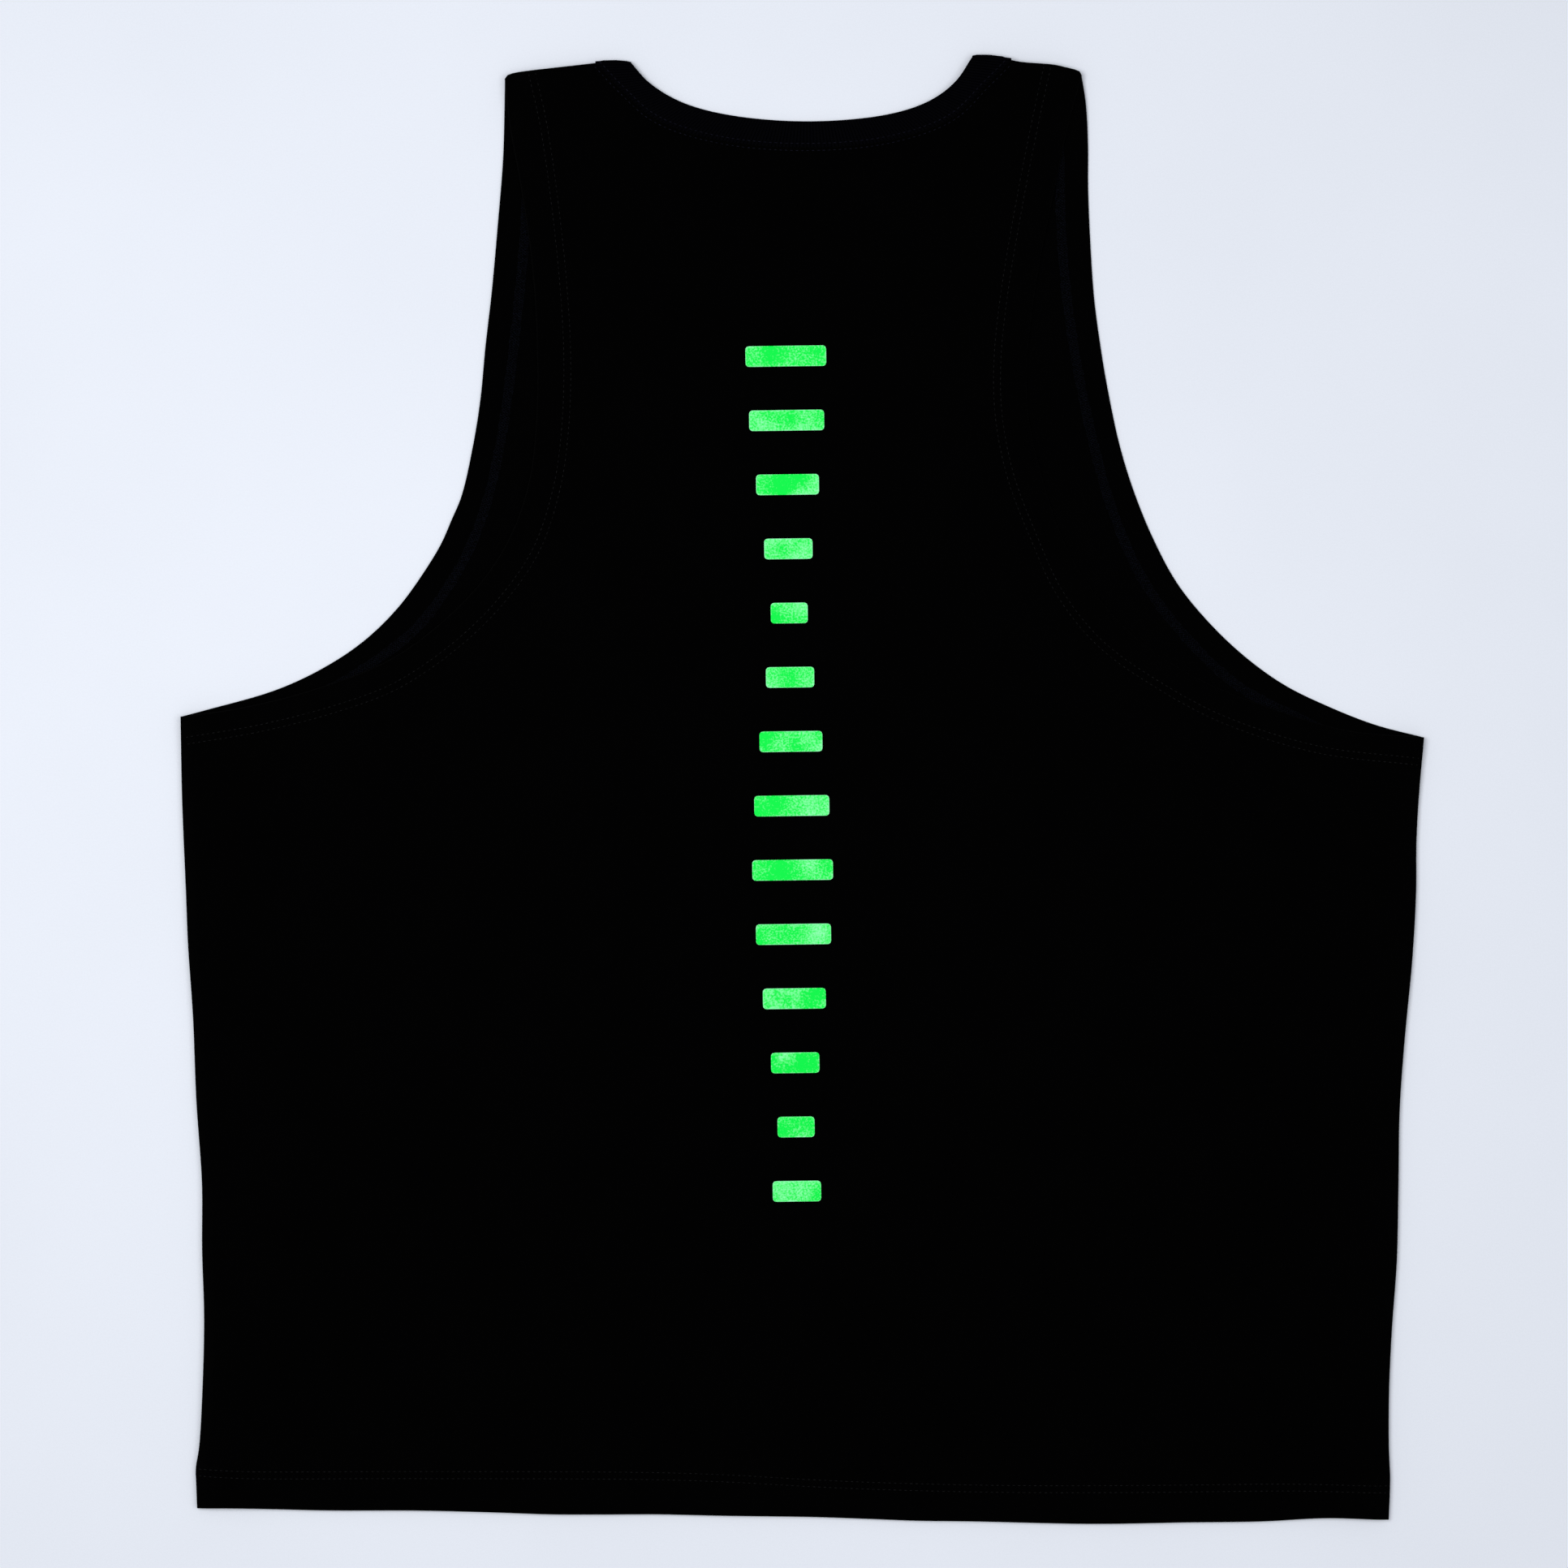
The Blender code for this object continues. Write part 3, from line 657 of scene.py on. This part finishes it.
def band_rows(seam_table, free_table, base):
    """Sections of one half of the neckband, left to right, with the ribs that cross it."""
    length = line_run(curve(seam_table, BAND_RUN_STEP))[-1]
    count = int(length / STATION_STEP)
    seams = restep(curve(seam_table, BAND_FINE_STEP), count)
    frees = restep(curve(free_table, BAND_FINE_STEP), count)
    across = frees - seams
    width = np.linalg.norm(across, axis=1)
    seams = seams + across / width[:, None] * SEAM_TUCK
    low_seam, low_free = base(seams), base(frees)
    relief = RIB_RELIEF * (rib_ridge(count) - 1.0)
    rows = np.zeros((count, len(BAND_SECTION), 3))
    for i, (share, up) in enumerate(BAND_SECTION):
        rows[:, i, :2] = seams + (frees - seams) * share / FOLD_SHARE
        rows[:, i, 2] = low_seam + (low_free - low_seam) * share + RIB * up
        if i < OUTER_POINTS:
            outward = 2.0 * up - 1.0
            from_stitch = share * BAND_WIDTH - NECK_STITCH
            pinch = 1.0 - RIB_PINCH * math.exp(-((from_stitch / RIB_PINCH_WIDTH) ** 2))
            rows[:, i, 2] += relief * pinch * outward
            rows[:, i, 2] -= GROOVE * math.exp(-((from_stitch / GROOVE_WIDTH) ** 2)) * outward
    return rows


def fold_ridge():
    """The ribs that show round the half turn at a shoulder."""
    turns = np.arange(1, FOLD_STATIONS) / FOLD_STATIONS
    return 1.0 - (1.0 - np.abs(np.sin(math.pi * turns * FOLD_RIBS))) ** 2


def band_turn(upper, lower):
    """Sections round the half turn at a shoulder, from the upper end to the lower end."""
    flipped = lower[flip_order()]
    shares, ups = np.array(BAND_SECTION).T
    ease = 1.0 - FOLD_SEAM_PRESS * smooth(1.0 - shares / FOLD_SEAM_REACH)
    ease *= 1.0 - FOLD_FREE_PRESS * smooth((shares - FOLD_FREE_START) / FOLD_FREE_REACH)
    skin = np.arange(len(BAND_SECTION)) < OUTER_POINTS
    rows = []
    for number, ridge in zip(range(1, FOLD_STATIONS), fold_ridge()):
        turn = math.pi * number / FOLD_STATIONS
        radius = (upper[:, 2] - flipped[:, 2]) / 2.0
        radius = radius + skin * RIB_RELIEF * (ridge - 1.0) * (2.0 * ups - 1.0)
        share = (1.0 - math.cos(turn)) / 2.0
        row = upper + (flipped - upper) * share
        row[:, 1] += radius * ease * math.sin(turn)
        row[:, 2] = (upper[:, 2] + flipped[:, 2]) / 2.0 + radius * math.cos(turn)
        rows.append(row)
    return np.array(rows)


def flip_order():
    """The section's points in the order that turns it upside down."""
    outer = list(range(OUTER_POINTS))[::-1]
    inner = list(range(OUTER_POINTS, len(BAND_SECTION)))[::-1]
    return outer + inner


def neck_band(material):
    """The folded rib: back half over, front half under, joined by half turns at the shoulders."""
    back = band_rows(BACK_NECK, BACK_FREE, lambda plan: back_low(plan) + BAND_CLEAR)
    front = band_rows(FRONT_NECK, FRONT_FREE, front_low)
    order = flip_order()
    right = band_turn(back[-1], front[-1])
    left = band_turn(back[0], front[0])[::-1]
    rows = np.concatenate((back, right, front[::-1][:, order], left))
    ridges = (rib_ridge(len(back)), fold_ridge(), rib_ridge(len(front))[::-1], fold_ridge())
    size = len(BAND_SECTION)
    total = len(rows)
    starts, corners = np.arange(total)[:, None] * size, np.arange(size)[None, :]
    a = (starts + corners).ravel()
    b = (starts + (corners + 1) % size).ravel()
    c = (b + size) % (total * size)
    d = (a + size) % (total * size)
    faces = np.column_stack((a, b, c, d))
    piece = make_piece("neck_rib", rows.reshape(-1, 3), faces, material, "rib")
    # The rib material paints the furrows darker from this mark, as painted shade.
    ridge = piece.data.attributes.new("ridge", "FLOAT", "POINT")
    ridge.data.foreach_set("value", np.repeat(np.concatenate(ridges), size))
    return piece


# ---- threads
DASH_STATIONS = (-1.0, -0.62, 0.0, 0.62, 1.0)  # along half a stitch
DASH_WIDTHS = (0.0, 0.78, 1.0, 0.78, 0.0)
DASH_SIDES = 6
DASH_FIRST, DASH_LAST = 0.6, 0.5  # clear of a line's ends, in pitches
STITCH_DIP = 0.42  # how far below its middle a stitch's ends are
SHOWN_RISE = 0.10
UNDER_RISE = 0.03


def dashes(line, height, up, rise):
    """Stitches along a line: slim threads whose ends dip into the cloth, up or down from it."""
    run = line_run(line)
    centres = np.arange(PITCH * DASH_FIRST, run[-1] - PITCH * DASH_LAST, PITCH)
    stations = centres[:, None] + np.array(DASH_STATIONS)[None, :] * STITCH_LENGTH / 2.0
    plan = np.stack([np.interp(stations, run, line[:, axis]) for axis in (0, 1)], axis=-1)
    bow = rise - STITCH_DIP * np.array(DASH_STATIONS) ** 2
    z = height(plan.reshape(-1, 2)).reshape(stations.shape) + up * bow[None, :]
    way = plan[:, -1] - plan[:, 0]
    way /= np.linalg.norm(way, axis=1)[:, None]
    across = np.column_stack((-way[:, 1], way[:, 0]))
    vertices, faces = [], []
    for k in range(len(centres)):
        base = len(vertices)
        vertices.append((*plan[k, 0], z[k, 0]))
        for s in (1, 2, 3):
            for n in range(DASH_SIDES):
                angle = 2.0 * math.pi * n / DASH_SIDES
                reach = THREAD / 2.0 * DASH_WIDTHS[s]
                spot = plan[k, s] + across[k] * reach * math.cos(angle)
                vertices.append((*spot, z[k, s] + reach * math.sin(angle)))
        vertices.append((*plan[k, 4], z[k, 4]))
        last = base + 3 * DASH_SIDES + 1
        for n in range(DASH_SIDES):
            m = (n + 1) % DASH_SIDES
            faces.append((base, base + 1 + n, base + 1 + m))
            for s in (0, 1):
                p = base + 1 + s * DASH_SIDES
                faces.append((p + n, p + DASH_SIDES + n, p + m))
                faces.append((p + m, p + DASH_SIDES + n, p + DASH_SIDES + m))
            p = base + 1 + 2 * DASH_SIDES
            faces.append((p + n, last, p + m))
    return vertices, faces


def joined(parts):
    """Several meshes as one."""
    vertices, faces = [], []
    for part_vertices, part_faces in parts:
        start = len(vertices)
        vertices.extend(part_vertices)
        faces.extend([tuple(corner + start for corner in face) for face in part_faces])
    return vertices, faces


def tube(path, radius, sides=5):
    """A thread along a path of points."""
    along = np.gradient(path, axis=0)
    along /= np.linalg.norm(along, axis=1)[:, None]
    across = np.column_stack((-along[:, 1], along[:, 0], np.zeros(len(path))))
    across /= np.linalg.norm(across, axis=1)[:, None]
    upward = np.cross(along, across)
    angles = 2.0 * math.pi * np.arange(sides) / sides
    round_x, round_y = np.cos(angles)[None, :, None], np.sin(angles)[None, :, None]
    reach = across[:, None, :] * round_x + upward[:, None, :] * round_y
    vertices = [tuple(p) for p in (path[:, None, :] + radius * reach).reshape(-1, 3)]
    faces = []
    for k in range(len(path) - 1):
        for n in range(sides):
            m = (n + 1) % sides
            faces.append((k * sides + n, k * sides + m, (k + 1) * sides + m, (k + 1) * sides + n))
    faces.append(tuple(range(sides))[::-1])
    faces.append(tuple((len(path) - 1) * sides + n for n in range(sides)))
    return vertices, faces


LOOPER_RADIUS = 0.19
LOOPER_REACH = 0.66  # how far to each side of the middle, in gauges
LOOPER_EYE = 0.3  # how far the thread doubles back at each needle, in pitches
LOOPER_POINTS = 14
LOOPER_FIRST, LOOPER_LAST = 0.5, 1.5  # clear of a line's ends, in pitches
LOOPER_SHIFTS = (0.0, 0.46)  # how far its two strands are shifted along, in pitches
LOOPER_RISE = 0.15
LOOPER_WEAVE, LOOPER_WEAVE_PHASE = 0.07, 0.8
# How unevenly the thread is laid: share, and radians for each stitch
EYE_WAVER = ((0.04, 1.9),)
REACH_WAVER = ((0.08, 2.7), (0.06, 0.8))


def waver(turns, waves):
    return sum(share * np.sin(rate * turns) for share, rate in waves)


def looper(needle_line, gauge, shift, height, up=1.0):
    """A strand of looper thread on a coverstitch's inner side: it crosses between the two
    needle lines and makes a small loop round each needle's thread."""
    middle = beside(needle_line, gauge / 2.0)
    run = line_run(middle)
    turns = np.arange(LOOPER_FIRST, run[-1] / PITCH - LOOPER_LAST, 1.0 / LOOPER_POINTS)
    eyes = LOOPER_EYE + waver(turns, EYE_WAVER)
    marks = PITCH * (turns + shift - eyes * np.sin(4.0 * math.pi * turns))
    reach = LOOPER_REACH * gauge * (1.0 + waver(turns, REACH_WAVER))
    plan = np.stack([np.interp(marks, run, middle[:, axis]) for axis in (0, 1)], axis=-1)
    sideways = normals(middle)
    out = np.stack([np.interp(marks, run, sideways[:, axis]) for axis in (0, 1)], axis=-1)
    plan = plan + out * (reach * np.cos(2.0 * math.pi * turns))[:, None]
    rise = LOOPER_RISE + LOOPER_WEAVE * np.sin(2.0 * math.pi * turns + LOOPER_WEAVE_PHASE)
    return tube(np.column_stack((plan, height(plan) + up * rise)), LOOPER_RADIUS)


# ---- film bars
def bar_outline(width, height):
    """A flat bar with rounded corners, anticlockwise round its middle."""
    ring = []
    for corner_x, corner_y, start in ((1, 1, 0), (-1, 1, 90), (-1, -1, 180), (1, -1, 270)):
        for turn in range(0, 91, BAR_ROUND_TURN):
            angle = math.radians(start + turn)
            ring.append((
                corner_x * (width / 2.0 - BAR_ROUND) + BAR_ROUND * math.cos(angle),
                corner_y * (height / 2.0 - BAR_ROUND) + BAR_ROUND * math.sin(angle),
            ))
    ring = np.array(ring + ring[:1])
    return restep(ring, int(line_run(ring)[-1] / BAR_STEP))[:-1]


def film_high(plan):
    return back_high(plan) + FILM


def film_low(plan):
    return back_high(plan) - FILM


def film_bars(material):
    parts, rims = [], []
    top, bottom = np.array(COLUMN_TOP), np.array(COLUMN_BOTTOM)
    lean = math.atan2(bottom[0] - top[0], top[1] - bottom[1])
    turn = np.array(((math.cos(lean), math.sin(lean)), (-math.sin(lean), math.cos(lean))))
    first = BAR_HEIGHT / 2.0 / (top[1] - bottom[1])
    for share, place in zip(BAR_SHARES, np.linspace(first, 1.0 - first, len(BAR_SHARES))):
        outer = bar_outline(BAR_WIDTH * share, BAR_HEIGHT) @ turn + top + (bottom - top) * place
        edge = inset(outer, FILM_ROUND)
        tiles = plan_tiles(edge, [(inset(outer, FILM_RIM), FILM_RIM_CLEAR)], FILM_STEP)
        plain = plan_tiles(edge, [], FILM_HIDDEN_STEP)
        vertices, faces = shell(outer, edge, tiles, plain, film_high, film_low)
        parts.append(([tuple(v) for v in vertices], [tuple(f) for f in faces]))
        # How much of the rim's painted highlight each point takes: full at the edge, fading
        # inward.
        from_edge = edge_distance(vertices[:, :2], np.vstack((outer, outer[:1])))
        rims.append(smooth(FILM_RIM_FULL - from_edge / FILM_RIM))
    piece = make_piece("film_bars", *joined(parts), material, "")
    rim = piece.data.attributes.new("rim", "FLOAT", "POINT")
    rim.data.foreach_set("value", np.concatenate(rims))
    return piece


# ---- materials
class Nodes:
    """A material's nodes, made and linked in short calls."""

    def __init__(self, name):
        self.material = bpy.data.materials.new(name)
        self.material.use_nodes = True
        self.tree = self.material.node_tree
        self.shader = self.tree.nodes["Principled BSDF"]

    def make(self, kind, **values):
        node = self.tree.nodes.new(kind)
        for key, value in values.items():
            setattr(node, key, value)
        return node

    def link(self, source, target):
        self.tree.links.new(source, target)

    def feed(self, node, sockets):
        """Gives each of a node's sockets its number, or links it to another node's output."""
        for key, value in sockets.items():
            if isinstance(value, (int, float)):
                node.inputs[key].default_value = value
            elif value is not None:
                self.link(value, node.inputs[key])

    def math(self, operation, a, b=None):
        node = self.make("ShaderNodeMath", operation=operation)
        self.feed(node, {0: a, 1: b})
        return node.outputs[0]

    def wave(self, value, rate):
        return self.math("SINE", self.math("MULTIPLY", value, rate))

    def mix(self, *shares):
        """The sum of values, each with its share."""
        parts = [self.math("MULTIPLY", value, share) for value, share in shares]
        total = parts[0]
        for part in parts[1:]:
            total = self.math("ADD", total, part)
        return total

    def place(self):
        """The object's own coordinates, in millimetres: x, y, z and the vector."""
        coordinate = self.make("ShaderNodeTexCoord").outputs["Object"]
        scale = self.make("ShaderNodeVectorMath", operation="SCALE")
        self.feed(scale, {"Scale": 1.0 / MM, 0: coordinate})
        split = self.make("ShaderNodeSeparateXYZ")
        self.link(scale.outputs[0], split.inputs[0])
        return (*split.outputs, scale.outputs[0])

    def noise(self, vector, scale, detail=3.0):
        node = self.make("ShaderNodeTexNoise")
        self.feed(node, {"Scale": scale, "Detail": detail, "Vector": vector})
        return node.outputs["Fac"]

    def colour(self, factor, low, high, dark, light):
        """Runs the colour from dark to light as the factor goes from low to high."""
        node = self.make("ShaderNodeValToRGB")
        for element, place, tint in zip(node.color_ramp.elements, (low, high), (dark, light)):
            element.position = place
            element.color = (*tint, 1.0)
        self.link(factor, node.inputs[0])
        self.link(node.outputs[0], self.shader.inputs["Base Color"])

    def bump(self, height, distance, strength, before=None):
        """Adds relief to the shader, over the bump before it."""
        node = self.make("ShaderNodeBump")
        self.feed(node, {"Strength": strength, "Distance": distance})
        self.feed(node, {"Height": height, "Normal": before})
        self.link(node.outputs[0], self.shader.inputs["Normal"])
        return node.outputs[0]

    def surface(self, roughness, specular, sheen=0.0, sheen_roughness=0.5):
        self.feed(self.shader, {"Roughness": roughness, "Specular IOR Level": specular})
        self.feed(self.shader, {"Sheen Weight": sheen, "Sheen Roughness": sheen_roughness})


WALE = 0.72  # width of a column of knit stitches
COURSE = 0.58  # height of a row
LEG_SLANT = 0.8  # how far a stitch's legs rise toward its middle, in rows
LEG_WAVE = 0.35  # how much of the legs' height changes along a row
ARC_RISE = 0.22  # how far a wrong-side arc rises, in rows
PLY_RATE = 14.0  # a thread's twist, in radians for each millimetre

# Roughness, specular level, sheen, sheen's roughness
CLOTH_SURFACE = (0.85, 0.006, 0.008, 0.4)
THREAD_SURFACE = (0.5, 0.012, 0.01, 0.4)
FILM_SURFACE = (0.45, 0.06)
TABLE_SURFACE = (0.85, 0.08)


def knit_height(nodes, x, y):
    """Columns of V-shaped stitches: two slanting legs with a groove between them."""
    column = nodes.math("FRACT", nodes.math("MULTIPLY", x, 1.0 / WALE))
    off = nodes.math("ABSOLUTE", nodes.math("SUBTRACT", nodes.math("MULTIPLY", column, 2.0), 1.0))
    legs = nodes.wave(off, math.pi)
    rows = nodes.mix((y, 1.0 / COURSE), (off, -LEG_SLANT))
    wave = nodes.mix((nodes.wave(rows, 2.0 * math.pi), LEG_WAVE))
    return nodes.math("MULTIPLY", legs, nodes.math("ADD", wave, 1.0 - LEG_WAVE))


def purl_height(nodes, x, y):
    """The wrong side's rows of small crosswise arcs."""
    arc = nodes.wave(x, 2.0 * math.pi / WALE)
    rows = nodes.mix((y, 1.0 / COURSE), (arc, ARC_RISE))
    return nodes.math("ADD", nodes.mix((nodes.wave(rows, 2.0 * math.pi), 0.5)), 0.5)


def jersey_material(name, stitch_height):
    nodes = Nodes(name)
    x, y, z, vector = nodes.place()
    wander = nodes.noise(vector, scale=0.03, detail=2.0)
    across = nodes.mix((x, 1.0), (z, 1.0), (wander, 3.0))
    knit = stitch_height(nodes, across, nodes.math("ADD", y, z))
    fuzz = nodes.noise(vector, scale=2.6, detail=4.0)
    cloud = nodes.noise(vector, scale=0.02, detail=4.0)
    # The base colour is painted darker in the knit's grooves, as painted shade between the
    # stitches; cloud and fuzz are tone that differs at random.
    tone = nodes.mix((cloud, 0.25), (fuzz, 0.25), (knit, 0.5))
    nodes.colour(tone, 0.2, 0.8, dark=(0.0001, 0.0001, 0.0001), light=(0.0009, 0.0009, 0.0010))
    stitches = nodes.bump(knit, distance=0.2 * MM, strength=0.8)
    nodes.bump(fuzz, distance=0.16 * MM, strength=0.3, before=stitches)
    nodes.surface(*CLOTH_SURFACE)
    return nodes.material


def rib_material():
    """Fine rib: its furrows, marked on the mesh, are painted darker than its ridges, as painted
    shade in the furrows.
    """
    nodes = Nodes("black_rib")
    _, _, _, vector = nodes.place()
    fuzz = nodes.noise(vector, scale=3.0, detail=4.0)
    ridge = nodes.make("ShaderNodeAttribute", attribute_name="ridge").outputs["Fac"]
    # The ridge mark paints the furrows darker, as painted shade; the fuzz is tone that differs at
    # random.
    tone = nodes.mix((fuzz, 0.3), (ridge, 0.7))
    nodes.colour(tone, 0.2, 0.85, dark=(0.0001, 0.0001, 0.0002), light=(0.0009, 0.0009, 0.0016))
    nodes.bump(fuzz, distance=0.2 * MM, strength=0.5)
    nodes.surface(*CLOTH_SURFACE)
    return nodes.material


def thread_material(name, dark, light):
    """Twisted thread, lighter in some stitches than in others."""
    nodes = Nodes(name)
    x, y, _, vector = nodes.place()
    ply = nodes.wave(nodes.math("ADD", x, y), PLY_RATE)
    nodes.colour(nodes.noise(vector, scale=1.1), 0.36, 0.68, dark, light)
    nodes.bump(ply, distance=0.1 * MM, strength=0.5)
    nodes.surface(*THREAD_SURFACE)
    return nodes.material


def film_material():
    """Green transfer film, satin and finely mottled: its own saturated green runs to a paler
    green that is painted highlight, in broad patches, in fine mottling and along a lighter rim.
    """
    nodes = Nodes("green_film")
    _, _, _, vector = nodes.place()
    glare = nodes.noise(vector, scale=0.055, detail=2.0)
    mottle = nodes.noise(vector, scale=1.1)
    rim = nodes.make("ShaderNodeAttribute", attribute_name="rim").outputs["Fac"]
    # Glare, mottle and the rim mark turn the film's own green paler: the paler green is painted
    # satin highlight.
    tone = nodes.mix((glare, 0.5), (mottle, 0.5), (rim, 0.1))
    nodes.colour(tone, 0.48, 0.68, dark=(0.0003, 0.87, 0.066), light=(0.29, 0.98, 0.46))
    nodes.bump(mottle, distance=0.2 * MM, strength=0.3)
    nodes.surface(*FILM_SURFACE)
    return nodes.material


def floor_material():
    nodes = Nodes("pale_table")
    _, _, _, vector = nodes.place()
    grain = nodes.noise(vector, scale=1.4)
    patch = nodes.noise(vector, scale=0.006)
    tone = nodes.mix((grain, 0.55), (patch, 0.45))
    nodes.colour(tone, 0.3, 0.7, dark=(0.745, 0.780, 0.855), light=(0.790, 0.826, 0.905))
    nodes.bump(grain, distance=0.2 * MM, strength=0.1)
    nodes.surface(*TABLE_SURFACE)
    return nodes.material


# ---- the garment
jersey = jersey_material("black_jersey", knit_height)
jersey_inside = jersey_material("black_jersey_inside", purl_height)
thread = thread_material("black_thread", (0.0042, 0.0042, 0.0046), (0.0120, 0.0120, 0.0128))
neck_thread = thread_material("neck_thread", (0.0036, 0.0036, 0.0072), (0.0100, 0.0100, 0.0190))
looper_thread = thread_material(
    "blue_black_thread", (0.0001, 0.0002, 0.0006), (0.0031, 0.0038, 0.0074)
)

cloths = (jersey, jersey_inside)
front_cloth = panel(
    "front_cloth", FRONT_ARMHOLES, FRONT_NECK, front_high, front_under, FRONT_STITCHES,
    False, cloths,
)
back_cloth = panel(
    "back_cloth", BACK_ARMHOLES, BACK_NECK, back_high, back_low, BACK_STITCHES,
    True, cloths,
)
neck_rib = neck_band(rib_material())
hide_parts("front_panel")
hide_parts("back_panel")
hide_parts("neckband")


def band_top(plan):
    return back_low(plan) + RIB - GROOVE


def band_under(plan):
    return front_low(plan) + GROOVE


back_threads = make_piece(
    "back_stitches",
    *joined([dashes(line, back_high, 1.0, SHOWN_RISE) for line in BACK_HEMS]),
    thread,
    "jersey",
)
front_threads = make_piece(
    "front_stitches",
    *joined([dashes(line, front_under, -1.0, UNDER_RISE) for line in FRONT_HEMS]),
    thread,
    "jersey",
)
band_threads = make_piece(
    "neckband_stitches",
    *joined([
        dashes(NECK_BAND_LINE, band_top, 1.0, SHOWN_RISE),
        dashes(NECK_BODY_LINE, back_high, 1.0, SHOWN_RISE),
        dashes(NECK_BAND_FRONT, band_under, -1.0, UNDER_RISE),
        dashes(NECK_BODY_FRONT, front_under, -1.0, UNDER_RISE),
    ]),
    neck_thread,
    "rib",
)


def all_loopers():
    """The loopers that the crescents beside the back's armholes show, and the neck seam's."""
    strands = []
    for shift in LOOPER_SHIFTS:
        for needle, gauge in zip(both(FRONT_ARM_STITCH, EDGE_STEP), (GAUGE, -GAUGE)):
            strands.append(looper(needle, gauge, shift, front_high))
        strands.append(looper(NECK_BAND_LINE, -2.0 * NECK_STITCH, shift, back_low, -1.0))
    return joined(strands)


loopers = make_piece("inner_loopers", *all_loopers(), looper_thread, "jersey")
bars = film_bars(film_material())


def cut_area(armholes, neck):
    """The area of a panel's outline, in square metres."""
    x, y = (outline(armholes, neck) * MM).T
    return float(abs(np.dot(x, np.roll(y, -1)) - np.dot(y, np.roll(x, -1))) / 2.0)


cut_area(BACK_ARMHOLES, BACK_NECK)
cut_area(FRONT_ARMHOLES, FRONT_NECK)


# ---- studio
FLOOR_REACH = 30.0  # metres to each side, so that low views show no edge of it


def floor():
    mesh = bpy.data.meshes.new("table_top")
    signs = ((-1, -1), (1, -1), (1, 1), (-1, 1))
    corners = [(x * FLOOR_REACH, y * FLOOR_REACH, 0.0) for x, y in signs]
    mesh.from_pydata(corners, [], [(0, 1, 2, 3)])
    mesh.materials.append(floor_material())
    made = add_object("table_top", mesh)


def soft_light(name, place, size, watts):
    """A white square light that faces the garment's middle."""
    lamp = bpy.data.lights.new(name, "AREA")
    lamp.shape = "SQUARE"
    lamp.size = size
    lamp.energy = watts
    made = add_object(name, lamp)
    made.location = place
    made.rotation_euler = Vector(place).to_track_quat("Z", "Y").to_euler()


def studio():
    world = bpy.data.worlds.new("studio")
    bpy.context.scene.world = world
    world.use_nodes = True
    background = world.node_tree.nodes["Background"]
    background.inputs["Color"].default_value = (0.97, 0.98, 1.0, 1.0)
    background.inputs["Strength"].default_value = 0.35
    soft_light("key", place=(-0.5, 0.15, 1.5), size=0.8, watts=14.4)
    soft_light("fill", place=(0.9, -0.15, 2.0), size=1.4, watts=13.4)


CAMERA_PLACE = (-0.0088, 0.0025)  # straight above this point, in metres
FRAME_WIDTH = 0.7577  # what the photo's frame takes in at table height, in metres
LENS = 85.0
SENSOR = 36.0
NEAR, FAR = 0.05, 50.0


def camera():
    lens = bpy.data.cameras.new("view")
    lens.lens = LENS
    lens.sensor_width = SENSOR
    lens.clip_start, lens.clip_end = NEAR, FAR
    made = add_object("view", lens)
    made.location = (*CAMERA_PLACE, FRAME_WIDTH * LENS / SENSOR)
    bpy.context.scene.camera = made


floor()
studio()
camera()
bpy.context.scene.view_settings.view_transform = "Standard"
